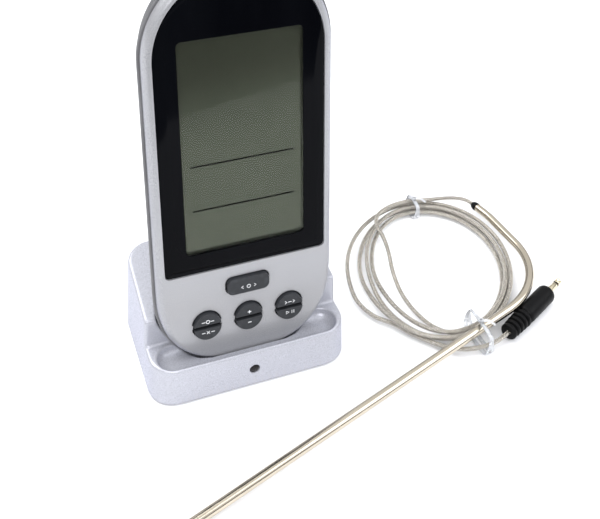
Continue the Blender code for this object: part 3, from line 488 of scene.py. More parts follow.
def add_mesh(name, vertices, faces, material, place=LEVEL):
    mesh = bpy.data.meshes.new(name)
    mesh.from_pydata([tuple(float(part) * MM for part in vertex) for vertex in vertices], [], faces)
    return add_object(name, mesh, material, place)


def add_object(name, mesh, material, place=LEVEL):
    mesh.materials.clear()
    mesh.materials.append(material)
    obj = bpy.data.objects.new(name, mesh)
    SCENE.collection.objects.link(obj)
    obj.matrix_world = place
    return obj


def tidy_normals(obj):
    bm = bmesh.new()
    bm.from_mesh(obj.data)
    bmesh.ops.recalc_face_normals(bm, faces=bm.faces)
    bm.to_mesh(obj.data)
    bm.free()
    return obj


def smooth(obj, angle=32.0, weighted=True):
    obj.data.shade_smooth()
    obj.data.set_sharp_from_angle(angle=math.radians(angle))
    if weighted:
        modifier = obj.modifiers.new("weighted_normals", "WEIGHTED_NORMAL")
        modifier.keep_sharp = True
    return obj


def loft(name, loops, material, place=LEVEL, ring=False):
    count = len(loops[0])
    vertices = [point for loop in loops for point in loop]
    faces = []
    last = len(loops) if ring else len(loops) - 1
    for row in range(last):
        below, above = row * count, (row + 1) % len(loops) * count
        for i in range(count):
            j = (i + 1) % count
            faces.append((below + i, below + j, above + j, above + i))
    if not ring:
        faces.append(tuple(range(count))[::-1])
        faces.append(tuple(range((len(loops) - 1) * count, len(loops) * count)))
    return tidy_normals(add_mesh(name, vertices, faces, material, place))


def at_depth(points, depth):
    return [(x, depth, s) for x, s in points]


def at_height(points, z):
    return [(x, y, z) for x, y in points]


def turned(name, profile, material, start, direction, segments=48):
    """A profile of (distance along the axis, radius) pairs turned about the axis."""
    bored = profile[0][1] > 0 and profile[-1][1] > 0
    vertices, rings, faces = [], [], []
    for along, radius in profile:
        first = len(vertices)
        if radius == 0:
            vertices.append((0.0, 0.0, along))
            rings.append([first] * segments)
            continue
        for step in range(segments):
            angle = 2 * math.pi * step / segments
            vertices.append((radius * math.cos(angle), radius * math.sin(angle), along))
        rings.append(list(range(first, first + segments)))
    pairs = list(zip(rings, rings[1:]))
    if bored:
        pairs.append((rings[-1], rings[0]))
    for near, far in pairs:
        for i in range(segments):
            j = (i + 1) % segments
            face = tuple(dict.fromkeys((near[i], near[j], far[j], far[i])))
            if len(face) > 2:
                faces.append(face)
    turn = Vector(direction).to_track_quat("Z", "Y").to_matrix().to_4x4()
    place = Matrix.Translation(Vector(start) * MM) @ turn
    return tidy_normals(add_mesh(name, vertices, faces, material, place))


def box(name, x_range, y_range, z_range, material=None, place=LEVEL):
    loop = [(x_range[0], y_range[0]), (x_range[1], y_range[0]), (x_range[1], y_range[1]),
            (x_range[0], y_range[1])]
    return loft(name, [at_height(loop, z_range[0]), at_height(loop, z_range[1])], material, place)


def plate(name, outlines, low, high, rounding, material, place=LEVEL):
    """A flat plate with rounded rims: the first outline is its edge, any others are holes."""
    curve = bpy.data.curves.new(name, "CURVE")
    curve.dimensions = "2D"
    curve.fill_mode = "BOTH"
    curve.extrude = ((high - low) / 2 - rounding) * MM
    curve.bevel_depth = rounding * MM
    curve.bevel_resolution = 3
    curve.offset = -rounding * MM
    for outline in outlines:
        spline = curve.splines.new("POLY")
        spline.points.add(len(outline) - 1)
        for control, (x, v) in zip(spline.points, outline):
            control.co = (x * MM, v * MM, 0.0, 1.0)
        spline.use_cyclic_u = True
    carrier = bpy.data.objects.new(name + "_curve", curve)
    SCENE.collection.objects.link(carrier)
    evaluated = carrier.evaluated_get(bpy.context.evaluated_depsgraph_get())
    mesh = bpy.data.meshes.new_from_object(evaluated)
    bpy.data.objects.remove(carrier, do_unlink=True)
    mesh.name = name
    bm = bmesh.new()
    bm.from_mesh(mesh)
    bmesh.ops.remove_doubles(bm, verts=bm.verts, dist=0.000004)
    bmesh.ops.recalc_face_normals(bm, faces=bm.faces)
    bm.to_mesh(mesh)
    bm.free()
    middle = (low + high) / 2 * MM
    return add_object(name, mesh, material, place @ Matrix.Translation((0.0, 0.0, middle)))


def face_plate(name, outlines, low, high, rounding, material, place=RECEIVER_FRAME):
    """A plate standing in a face plane, which is the receiver's unless told, from one depth to another."""
    return plate(name, outlines, -high, -low, rounding, material, place @ UPRIGHT)


def applied(obj):
    """The object's modifiers made part of its mesh."""
    graph = bpy.context.evaluated_depsgraph_get()
    mesh = bpy.data.meshes.new_from_object(obj.evaluated_get(graph))
    obj.modifiers.clear()
    obj.data = mesh
    return obj


def bevelled(obj, width, segments, angle):
    """Rounds the edges that are sharper than the angle."""
    rounding = obj.modifiers.new("rounded_edges", "BEVEL")
    rounding.width = width * MM
    rounding.segments = segments
    rounding.limit_method = "ANGLE"
    rounding.angle_limit = math.radians(angle)
    return applied(obj)


def combine(obj, operation, *others):
    for other in others:
        modifier = obj.modifiers.new(other.name, "BOOLEAN")
        modifier.operation = operation
        modifier.object = other
    applied(obj)
    for other in others:
        bpy.data.objects.remove(other, do_unlink=True)
    return obj


def cut(obj, *cutters):
    return combine(obj, "DIFFERENCE", *cutters)


def joined(name, objects):
    """One object made of several, in world coordinates."""
    bm = bmesh.new()
    for obj in objects:
        mesh = obj.data.copy()
        mesh.transform(obj.matrix_world)
        bm.from_mesh(mesh)
    material = objects[0].data.materials[0]
    mesh = bpy.data.meshes.new(name)
    bm.to_mesh(mesh)
    bm.free()
    for obj in objects:
        bpy.data.objects.remove(obj, do_unlink=True)
    return add_object(name, mesh, material)


def finish_piece(obj, body, slot, *replaced):
    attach(obj, body)
    if replaced:
        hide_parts(*replaced)
    return obj


def rings_of(path, radii, segments):
    """Rings of points round a path, without twist, for tubes and wires."""
    path = np.asarray(path, float)
    tangents = np.gradient(path, axis=0)
    tangents /= np.linalg.norm(tangents, axis=1)[:, None]
    across = Vector(tangents[0]).orthogonal().normalized()
    rings = []
    for centre, tangent, radius in zip(path, tangents, radii):
        tangent = Vector(tangent)
        across = (across - tangent * across.dot(tangent)).normalized()
        other = tangent.cross(across)
        rings.append([Vector(centre) + radius * (math.cos(a) * across + math.sin(a) * other)
                      for a in np.linspace(0.0, 2 * math.pi, segments, endpoint=False)])
    return rings


def tube(name, path, radius, material, segments=24, radii=None):
    radii = [radius] * len(path) if radii is None else radii
    return loft(name, rings_of(path, radii, segments), material)


# Transmitter base -------------------------------------------------------------------------


def base_loop(z, side_inset, rear_inset=None):
    rear_inset = side_inset if rear_inset is None else rear_inset
    draft = z * math.tan(BASE_DRAFT)
    half_x = BASE_WIDTH / 2 - draft - side_inset
    y_range = (-BASE_DEPTH / 2 + draft + side_inset, BASE_DEPTH / 2 - draft - rear_inset)
    return at_height(rounded_rectangle((-half_x, half_x), y_range, BASE_CORNER - side_inset, 14), z)


def stepped_slab(bottom, ledge, drop, block_y):
    run = BASE_DEPTH / 2 - BLOCK_FRONT_Y
    slope = (BLOCK_HEIGHTS[1] - BLOCK_HEIGHTS[0]) / run
    front_top = BLOCK_HEIGHTS[0] - drop + slope * (block_y - BLOCK_FRONT_Y)
    rear_top = front_top + slope * (40.0 - block_y)
    outline = ((-40.0, bottom), (-40.0, ledge), (block_y, ledge), (block_y, front_top),
               (40.0, rear_top), (40.0, bottom))
    return loft("stepped_slab", [[(x, y, z) for y, z in outline] for x in (-40.0, 40.0)], None)


BACK_PROFILE = ((30.2, 5.7), (30.0, 8.0), (29.0, 12.0), (26.8, 16.0), (23.0, 19.0), (17.0, 20.4))


def receiver_envelope(clearance):
    profile = [(27.9, -clearance), (28.8, 0.1), (29.6, 0.7), (30.3, 2.0), (31.0, 3.4), (31.0, 6.0)]
    profile += [(30.6, 8.0), (29.4, 12.0), (27.2, 16.0), (23.3, 19.0), (17.0, 20.4 + clearance)]
    loops = [at_depth(receiver_outline(width + clearance, 40), depth) for width, depth in profile]
    return loft("receiver_envelope", loops, None, RECEIVER_FRAME)


def housing_trough():
    """The bath-shaped hollow in the ledge, its wall curving into its floor."""
    loops = []
    rims = [(17.0, -0.9), (LEDGE_HEIGHT + 0.02, -0.55), (LEDGE_HEIGHT - 0.12, -0.25),
            (LEDGE_HEIGHT - 0.45, 0.0)]
    for angle in quarter_turn(10, 1):
        rims.append((TROUGH_FLOOR + 3.0 * (1.0 - math.sin(angle)), 3.6 * (1.0 - math.cos(angle))))
    for z, inset in rims:
        outline = rounded_rectangle(*grown(TROUGH, -inset), max(TROUGH_CORNER - inset, 0.9), 12)
        loops.append(at_height(outline, z))
    return loft("trough", loops, None)


def cylinder(name, radius, start, end):
    run = Vector(end) - Vector(start)
    profile = ((0.0, 0.0), (0.0, radius), (run.length, radius), (run.length, 0.0))
    return turned(name, profile, None, start, run, 32)


def make_housing():
    housing = loft("housing_skin", [base_loop(-4.0, 0.0), base_loop(36.0, 0.0)], SILVER)
    combine(housing, "INTERSECT", stepped_slab(-6.0, LEDGE_HEIGHT, 0.0, BLOCK_FRONT_Y))
    bevelled(housing, 1.1, 4, 50.0)
    cut(housing, box("below_the_rim", (-40.0, 40.0), (-40.0, 40.0), (-9.0, HOUSING_BOTTOM)))
    cavity = loft("cavity", [base_loop(0.0, *BASE_WALLS), base_loop(36.0, *BASE_WALLS)], None)
    combine(cavity, "INTERSECT", stepped_slab(-1.0, 9.4, BASE_WALLS[0], BLOCK_FRONT_Y + BASE_WALLS[0]))
    cut(cavity, receiver_envelope(1.8))
    cut(housing, cavity)
    cut(housing, housing_trough())
    cut(housing, receiver_envelope(0.5))
    cut(housing, cylinder("indicator_hole", 1.75, (0, -27, 7), (0, -21.4, 7)))
    cut(housing, cylinder("jack_hole", 3.0, (31, PORT_Y, 9), (38, PORT_Y, 9)))
    cut(housing, box("switch_slot", (31.0, 38.0), (PORT_Y - 3.05, PORT_Y + 3.05), (18.2, 21.8)))
    door_x, door_z = grown(REAR_DOOR, GAP)
    cut(housing, box("door_recess", door_x, (-1.9, 2.0), door_z, place=REAR_FRAME))
    cut(housing, box("door_opening", (-25.0, 25.0), (-5.0, 1.0), (6.2, 26.6), place=REAR_FRAME))
    remesh = housing.modifiers.new("even_skin", "REMESH")
    remesh.mode = "VOXEL"
    remesh.voxel_size = SKIN_VOXEL * MM
    soften = housing.modifiers.new("soft_edges", "SMOOTH")
    soften.factor = 0.5
    soften.iterations = 4
    applied(housing)
    housing.data.shade_smooth()
    finish_piece(housing, "base", "silver_paint", "base_housing")


def cross_head(name, radius, height, material, start, direction, body, slot, replaced):
    """A pan-head screw with a cross recess; start is under the head."""
    shank = 1.05
    profile = [(-7.0, 0.0), (-6.2, shank), (0.0, shank), (0.0, radius)]
    for angle in quarter_turn(6, 1):
        profile.append((height * math.sin(angle), radius * (0.55 + 0.45 * math.cos(angle))))
    profile.append((height, 0.0))
    screw = turned(name, profile, material, start, direction, 40)
    place = screw.matrix_world.copy()
    slots = [box(f"recess_{index}", *ranges, (height - 0.75, height + 1.0), place=place)
             for index, ranges in enumerate((((-1.25, 1.25), (-0.24, 0.24)), ((-0.24, 0.24), (-1.25, 1.25))))]
    cut(screw, *slots)
    smooth(screw)
    finish_piece(screw, body, slot, replaced)


def make_base_fittings():
    for side, node in ((-1, "base_screw_left"), (1, "base_screw_right")):
        cross_head(node + "_head", 2.1, 0.95, FITTING, (side * 29.0, -15.0, 1.7), (0, 0, -1), "base",
                   "polished_steel", node)
    profile = [(0.0, 0.0)]
    for angle in quarter_turn(8, 1):
        profile.append((0.55 * (1 - math.cos(angle)), 1.5 * math.sin(angle)))
    profile += [(1.9, 1.5), (1.9, 0.0)]
    lens = smooth(turned("indicator_dome", profile, SMOKED, (0, -24.55, 7.0), (0, 1, 0)))
    finish_piece(lens, "base", "dark_red_lens", "indicator_lens")

    ring = [(0.0, 2.6), (3.0, 2.6), (3.4, 2.5), (3.6, 2.25), (3.45, 1.9), (3.0, 1.5), (0.0, 1.5)]
    bush = smooth(turned("jack_bush_ring", ring, FITTING, (30.95, PORT_Y, 9.0), (1, 0, 0)))
    finish_piece(bush, "base", "dark_plastic")
    knob_y = PORT_Y - 1.25
    knob = plate("switch_knob_ribbed", [rounded_rectangle((knob_y - 1.5, knob_y + 1.5), (18.6, 21.4), 0.5)],
                 31.6, 34.9, 0.25, DARK, SIDEWAYS)
    ribs = [plate(f"knob_rib_{index}", [rounded_rectangle((knob_y + offset - 0.25, knob_y + offset + 0.25),
                                                          (18.9, 21.1), 0.2)],
                  34.7, 35.2, 0.15, DARK, SIDEWAYS)
            for index, offset in enumerate((-0.9, 0.0, 0.9))]
    body = joined("switch_knob", [knob, *ribs])
    finish_piece(smooth(body, weighted=False), "power_knob", "dark_plastic")


def make_pad():
    """The non-slip pad under the base, with grooves across it."""
    half_x, half_y = PAD_SIZE[0] / 2, PAD_SIZE[1] / 2
    pad = plate("grooved_pad", [rounded_rectangle((-half_x, half_x), (-half_y, half_y), 4.0)], 0.0, 0.9, 0.15,
                BLACK_RUBBER)
    grooves = [box(f"groove_{index}", (-half_x - 1, half_x + 1), (y - 0.35, y + 0.35), (-0.4, 0.35))
               for index, y in enumerate(np.linspace(-half_y + 3, half_y - 3, 8))]
    cut(pad, *grooves)
    finish_piece(smooth(pad), "base", "dark_rubber", "base_foot_pad")


def make_rear_door():
    outline = rounded_rectangle(*grown(REAR_DOOR, -0.02), 0.8)
    door = face_plate("rear_door_panel", [outline], -1.6, -0.12, 0.22, SILVER, REAR_FRAME)
    ridges = []
    for index in range(4):
        z = REAR_DOOR[1][1] - 2.2 - 1.3 * index
        outline = rounded_rectangle((-7.0, 7.0), (z - 0.32, z + 0.32), 0.3)
        ridges.append(face_plate(f"rear_ridge_{index}", [outline], -0.3, 0.22, 0.2, SILVER, REAR_FRAME))
    panel = joined("rear_door_skin", [door, *ridges])
    finish_piece(smooth(panel, weighted=False), "base_door", "silver_paint", "base_battery_door")


# Receiver ---------------------------------------------------------------------------------


def flared_cutter(name, outline_at, depth):
    """A cutter whose mouth opens out over the last few tenths, so that it leaves a rounded rim."""
    loops = [at_depth(outline_at(0.9), -0.55)]
    for angle in quarter_turn(4):
        loops.append(at_depth(outline_at(0.28 * (1.0 - math.sin(angle))), 0.28 * (1.0 - math.cos(angle))))
    loops.append(at_depth(outline_at(0.0), depth))
    return loft(name, loops, None, RECEIVER_FRAME)


def make_front_shell():
    loops = [at_depth(receiver_outline(27.9 + 2.3 * math.sin(angle)), 3.5 * (1.0 - math.cos(angle)))
             for angle in quarter_turn(14)]
    loops += [at_depth(receiver_outline(28.0), 3.5), at_depth(receiver_outline(27.9), 2.2)]
    shell = loft("front_shell_skin", loops, RECEIVER_SILVER, RECEIVER_FRAME)
    cut(shell, flared_cutter("bezel_pocket", lambda grow: bezel_outline(-GAP * 0.6 - grow * 0.55), 1.3))
    cut(shell, face_plate("window_opening", [rounded_rectangle(*grown(SCREEN, 2.0), 2.0)], 0.5, 3.4, 0.1,
                          RECEIVER_SILVER))
    for x in (-ROUND_PITCH, 0.0, ROUND_PITCH):
        def round_hole(grow, x=x):
            return shifted(notched_ellipse(GAP + grow), (x, ROUND_CENTRE))
        cut(shell, flared_cutter(f"round_hole_{x:.0f}", round_hole, 3.6))
    cut(shell, flared_cutter("mode_hole", lambda grow: mode_outline(GAP + grow), 3.6))
    finish_piece(smooth(shell), "receiver", "silver_paint", "receiver_front_shell")


def mode_outline(grow):
    """The long button: a bar with all four corners rounded."""
    ranges = grown(((-7.25, 7.25), (-3.0, 3.0)), grow)
    return shifted(rounded_rectangle(*ranges, 2.1 + grow), MODE_CENTRE)


def make_bezel():
    rim = [(0.0, 1.0), (0.0, 0.62), (0.05, 0.50), (0.18, 0.42), (0.55, 0.32), (1.2, 0.20), (2.0, 0.09),
           (2.9, 0.02), (3.6, 0.0)]
    loops = [at_depth(bezel_outline(inset), depth) for inset, depth in rim]
    bezel = loft("face_panel", loops, GLOSS, RECEIVER_FRAME)
    hole = [at_depth(rounded_rectangle(*grown(SCREEN, grow), 1.6 + grow), depth)
            for grow, depth in ((0.5, -0.4), (0.16, 0.0), (0.05, 0.08), (0.0, 0.2), (0.0, 2.0))]
    cut(bezel, loft("screen_hole", hole, None, RECEIVER_FRAME))
    finish_piece(smooth(bezel, 40.0), "receiver", "gloss_black", "display_bezel")


def make_display():
    pane = rounded_rectangle(*grown(SCREEN, -0.12), 1.5)
    window = face_plate("screen_pane", [pane], 0.1, 0.9, 0.08, WINDOW)
    finish_piece(smooth(window), "receiver", "clear_screen", "display_window")
    film = face_plate("lcd_film_panel", [rounded_rectangle(*grown(SCREEN, 1.6), 2.0)], 1.3, 3.0, 0.08, LCD)
    finish_piece(smooth(film), "receiver", "lcd_grey", "lcd_panel")
    half, thick = LCD_LINE_HALF
    for index, s in enumerate(LCD_LINES):
        outline = rounded_rectangle((-half, half), (s - thick, s + thick), 0.2)
        line = face_plate(f"lcd_line_{index + 1}", [outline], 1.12, 1.27, 0.03, LCD_INK)
        finish_piece(line, "receiver", "gloss_black")


def make_band():
    """Two beads with a groove between them, all round the receiver."""
    profile = [(30.5, 3.8), (30.8, 3.86), (30.97, 4.02), (30.97, 4.3), (30.78, 4.48), (30.55, 4.6),
               (30.78, 4.72), (30.97, 4.9), (30.97, 5.18), (30.8, 5.34), (30.5, 5.4), (28.4, 5.4),
               (28.4, 3.8)]
    loops = [at_depth(receiver_outline(width), depth) for width, depth in profile]
    band = loft("seam_band", loops, BAND_GREY, RECEIVER_FRAME, ring=True)
    finish_piece(smooth(band), "receiver", "dark_plastic", "receiver_band")


def make_back_shell():
    outer = smooth_path(BACK_PROFILE, 1.0)
    inner = ((16.0, 18.8), (21.4, 17.8), (25.2, 15.2), (27.4, 11.6), (28.4, 8.0), (28.6, 5.7))
    loops = [at_depth(receiver_outline(w), d) for w, d in [*outer[::-1], *inner[::-1]]]
    shell = loft("back_shell_skin", loops, DARK, RECEIVER_FRAME)
    well = [(-1.0, 3.6), (3.0, 3.2), (3.55, 2.75), (3.9, 2.55), (4.4, 2.5), (9.5, 2.5), (9.5, 0.0)]
    for index, (x, s) in enumerate(SCREW_PLACES):
        inward = RECEIVER_FRAME.to_3x3() @ Vector((0.0, -1.0, 0.0))
        cut(shell, turned(f"well_{index}", [(-1.0, 0.0), *well], None, on_receiver(x, 24.0, s), inward, 36))
    recess = [at_depth(rounded_rectangle(*grown(RECEIVER_DOOR, GAP + grow), 1.2 + grow), BACK_DEPTH + drop)
              for grow, drop in ((0.8, 0.5), (0.22, 0.0), (0.06, -0.06), (0.0, -0.25), (0.0, -1.7))]
    cut(shell, loft("door_recess", recess, None, RECEIVER_FRAME))
    cut(shell, box("cell_space", (-11.2, 11.2), (8.0, 22.0), (52.8, 103.2), place=RECEIVER_FRAME))
    finish_piece(smooth(shell), "receiver", "dark_plastic", "receiver_back_shell")


def make_receiver_door():
    outline = rounded_rectangle(*RECEIVER_DOOR, 1.0)
    door = face_plate("receiver_door_panel", [outline], BACK_DEPTH - DOOR_THICKNESS, BACK_DEPTH, 0.2, DARK)
    ridges = []
    for index in range(5):
        s = RECEIVER_DOOR[1][0] + 3.0 + 1.5 * index
        half = 6.5 - 0.6 * index
        outline = rounded_rectangle((-half, half), (s - 0.36, s + 0.36), 0.34)
        ridges.append(face_plate(f"door_ridge_{index}", [outline], BACK_DEPTH - 0.2, BACK_DEPTH + 0.4,
                                 0.25, DARK))
    panel = joined("receiver_door_skin", [door, *ridges])
    finish_piece(smooth(panel, weighted=False), "receiver_door", "dark_plastic", "receiver_battery_door")


def make_receiver_screws():
    outward = RECEIVER_FRAME.to_3x3() @ Vector((0.0, 1.0, 0.0))
    for index, (x, s) in enumerate(SCREW_PLACES):
        cross_head(f"receiver_screw_head_{index + 1}", 2.1, 1.2, FITTING, on_receiver(x, 11.9, s), outward,
                   "receiver", "polished_steel", f"receiver_screw_{index + 1}")


def make_key(name, outline, body, node, facet):
    """A rubber key whose crown is pared off towards its top edge, with softened corners."""
    crown = 1.4
    key = loft(name, [at_depth(outline, 3.2), at_depth(outline, -crown)], RUBBER, RECEIVER_FRAME)
    if facet:
        highest = max(s for _, s in outline)
        middle = sum(x for x, _ in outline) / len(outline)
        slope = Matrix.Rotation(math.radians(24.0), 4, "X")
        place = RECEIVER_FRAME @ Matrix.Translation(Vector((middle, -crown, highest - facet)) * MM) @ slope
        cut(key, box("paring", (-9.0, 9.0), (-3.0, 0.0), (0.0, 6.0), place=place))
    bevelled(key, 0.26, 3, 18.0)
    finish_piece(smooth(key, 50.0), body, "dark_rubber", node)


def make_keys():
    make_key("mode_key", mode_outline(0.0), "button_mode_body", "button_mode", 2.0)
    for column, x in (("left", -ROUND_PITCH), ("centre", 0.0), ("right", ROUND_PITCH)):
        for row, upper in (("upper", True), ("lower", False)):
            node = f"button_{column}_{row}"
            outline = shifted(half_moon(upper), (x, ROUND_CENTRE))
            make_key(f"{column}_{row}_key", outline, node + "_body", node, 1.9 if upper else 0.0)
        outline = rounded_rectangle((x - 4.45, x + 4.45), (ROUND_CENTRE - 0.52, ROUND_CENTRE + 0.52), 0.2)
        bar = face_plate(f"{column}_slot_bar", [outline], -0.35, 3.1, 0.12, BLACK_RUBBER)
        finish_piece(smooth(bar), "receiver", "dark_rubber")


# Key symbols: strokes as (x, s) points in millimetres about the symbol's centre
CHEVRON_LEFT = ((0.35, 0.5), (-0.35, 0.0), (0.35, -0.5))
CHEVRON_RIGHT = ((-0.35, 0.5), (0.35, 0.0), (-0.35, -0.5))
BAR = ((-0.6, 0.0), (0.6, 0.0))
POST = ((0.0, 0.6), (0.0, -0.6))
RING = tuple((0.6 * math.cos(a), 0.6 * math.sin(a)) for a in np.linspace(0.0, 2 * math.pi, 17))
CROSS = (((-0.5, 0.5), (0.5, -0.5)), ((-0.5, -0.5), (0.5, 0.5)))
TRIANGLE = ((-0.45, 0.55), (0.55, 0.0), (-0.45, -0.55), (-0.45, 0.55))


def make_symbols():
    """Plain marks printed on the keys in place of words."""
    symbols = {
        "mode": ((0.0, MODE_CENTRE[1] - 0.55), "button_mode_body",
                 [(-2.2, CHEVRON_LEFT), (0.0, RING), (2.2, CHEVRON_RIGHT)]),
        "left_upper": ((-ROUND_PITCH, ROUND_CENTRE + 2.1), "button_left_upper_body",
                       [(-1.5, BAR), (0.0, RING), (1.5, BAR)]),
        "left_lower": ((-ROUND_PITCH, ROUND_CENTRE - 2.1), "button_left_lower_body",
                       [(-1.6, BAR), (0.0, CROSS[0]), (0.0, CROSS[1]), (1.6, BAR)]),
        "centre_upper": ((0.0, ROUND_CENTRE + 2.1), "button_centre_upper_body",
                         [(0.0, BAR), (0.0, POST)]),
        "centre_lower": ((0.0, ROUND_CENTRE - 2.1), "button_centre_lower_body", [(0.0, BAR)]),
        "right_upper": ((ROUND_PITCH, ROUND_CENTRE + 2.1), "button_right_upper_body",
                        [(-1.4, CHEVRON_RIGHT), (0.0, BAR), (1.4, CHEVRON_RIGHT)]),
        "right_lower": ((ROUND_PITCH, ROUND_CENTRE - 2.1), "button_right_lower_body",
                        [(-0.9, TRIANGLE), (0.7, POST), (1.4, POST)]),
    }
    for name, (centre, body, strokes) in symbols.items():
        parts = []
        for index, (offset, stroke) in enumerate(strokes):
            points = [on_receiver(centre[0] + offset + x, -1.40, centre[1] + s) for x, s in stroke]
            parts.append(tube(f"{name}_stroke_{index}", points, 0.15, LEGEND, 6))
        mark = joined(f"{name}_symbol", parts)
        finish_piece(mark, body, "white_plastic")


# Probe ------------------------------------------------------------------------------------


def shaft_path():
    heading = Vector((math.cos(SHAFT_HEADING), math.sin(SHAFT_HEADING)))
    centre = Vector(BEND_CENTRE)
    tip = centre + BEND_RADIUS * Vector((heading.y, -heading.x)) - heading * SHAFT_STRAIGHT
    stations = (0.0, 0.5, 1.2, 2.2, 3.5, 5.0, 7.0, SHAFT_POINT, 10.5, 14.0, 20.0, 50.0, 80.0,
                110.0, 140.0)
    plan = [tip + heading * distance for distance in stations]
    for step in range(61):
        angle = SHAFT_HEADING + (BEND_END - SHAFT_HEADING) * step / 60
        plan.append(centre + BEND_RADIUS * Vector((math.sin(angle), -math.cos(angle))))
    ahead = Vector((math.cos(BEND_END), math.sin(BEND_END)))
    plan += [plan[-1] + ahead * AFTER_BEND * share for share in (0.33, 0.66, 1.0)]
    steps = 12
    for step in range(1, steps + 1):
        angle = BEND_END + SECOND_TURN * (step - 0.5) / steps
        plan.append(plan[-1] + SECOND_RADIUS * SECOND_TURN / steps * Vector((math.cos(angle), math.sin(angle))))
    last = BEND_END + SECOND_TURN
    plan.append(plan[-1] + SHAFT_TAIL * Vector((math.cos(last), math.sin(last))))
    across = Vector((-heading.y, heading.x))
    path = []
    for point in plan:
        run = point - plan[0]
        height = SHAFT_RADIUS + SHAFT_RISE * run.dot(heading) - SHAFT_FALL * max(run.dot(across), 0.0)
        path.append(Vector((point.x, point.y, height)))
    return path


def smooth_step(value, low, high):
    share = min(max((value - low) / (high - low), 0.0), 1.0)
    return share * share * (3.0 - 2.0 * share)


def slot_offset(slot):
    return 2.0 if slot == 0 else (5 - slot) * STRAND_PITCH


def slot_height(slot):
    return STRAND_HEIGHTS[2] if slot == 0 else STRAND_HEIGHTS[0 if slot % 2 else 1]


def coil_path():
    """Five passes down the left side, from the innermost to the outermost, wound anti-clockwise."""
    path = []
    passes = len(COIL_LEFT)
    for degrees in range(72, 90 + 360 * (passes - 1) + 163, 15):
        turn = min((degrees + 90) // 360, passes - 1)
        local = degrees - 360 * turn
        left = COIL_LEFT[turn]
        moved = smooth_step(local, 120.0, 240.0)
        dropped = smooth_step(local, 160.0, 205.0)
        if turn == 0:
            moved = smooth_step(local, 100.0, 160.0)
            dropped = smooth_step(local, 150.0, 200.0)
            left = COIL_HALF[0] + (left - COIL_HALF[0]) * moved
        inset = slot_offset(turn) + (slot_offset(turn + 1) - slot_offset(turn)) * moved
        height = slot_height(turn) + (slot_height(turn + 1) - slot_height(turn)) * dropped
        angle = math.radians(local)
        half_width, half_depth = left, COIL_HALF[1] - inset
        if math.cos(angle) > 0:
            half_width = COIL_HALF[0] - inset
        elif turn == passes - 1 and math.sin(angle) < 0:
            pressed = 1.0 - COIL_PINCH * math.sin(2 * angle) ** 4
            half_width, half_depth = half_width * pressed, half_depth * pressed
        y = COIL_CENTRE[1] + half_depth * math.sin(angle)
        x = COIL_CENTRE[0] + half_width * math.cos(angle) + COIL_SHEAR * (y - COIL_CENTRE[1])
        path.append(Vector((x, y, height)))
    return path


def lead_between(start, start_direction, end, end_direction, steps):
    reach = (end - start).length * 0.38
    near = start + start_direction.normalized() * reach
    far = end - end_direction.normalized() * reach
    points = []
    for step in range(1, steps):
        t = step / steps
        u = 1.0 - t
        points.append(u ** 3 * start + 3 * u * u * t * near + 3 * u * t * t * far + t ** 3 * end)
    return points


def cable_path():
    shaft = shaft_path()
    out = (shaft[-1] - shaft[-2]).normalized()
    leaving = shaft[-1] + out * CABLE_LEAD
    coil = coil_path()
    entry = Vector(PLUG_REAR) - PLUG_AXIS * 0.5
    path = [shaft[-1] - out * 3.0, leaving]
    path += lead_between(leaving, out, coil[0], coil[1] - coil[0], 5)
    path += coil
    path += lead_between(coil[-1], coil[-1] - coil[-2], entry, PLUG_AXIS, 5)
    return path + [entry, Vector(PLUG_REAR) + PLUG_AXIS * 2.4]


def even_path(points, spacing):
    fine = smooth_path(points, spacing / 2)
    lengths = np.concatenate([[0.0], np.cumsum(np.linalg.norm(np.diff(fine, axis=0), axis=1))])
    places = np.linspace(0.0, lengths[-1], round(lengths[-1] / spacing) + 1)
    return np.stack([np.interp(places, lengths, fine[:, axis]) for axis in range(3)], axis=1), places


def path_axes(path):
    tangents = np.gradient(path, axis=0)
    tangents /= np.linalg.norm(tangents, axis=1)[:, None]
    first = np.zeros_like(path)
    across = np.array(Vector(tangents[0]).orthogonal().normalized())
    for index, tangent in enumerate(tangents):
        across = across - tangent * (across @ tangent)
        across /= np.linalg.norm(across)
        first[index] = across
    return tangents, first, np.cross(tangents, first)


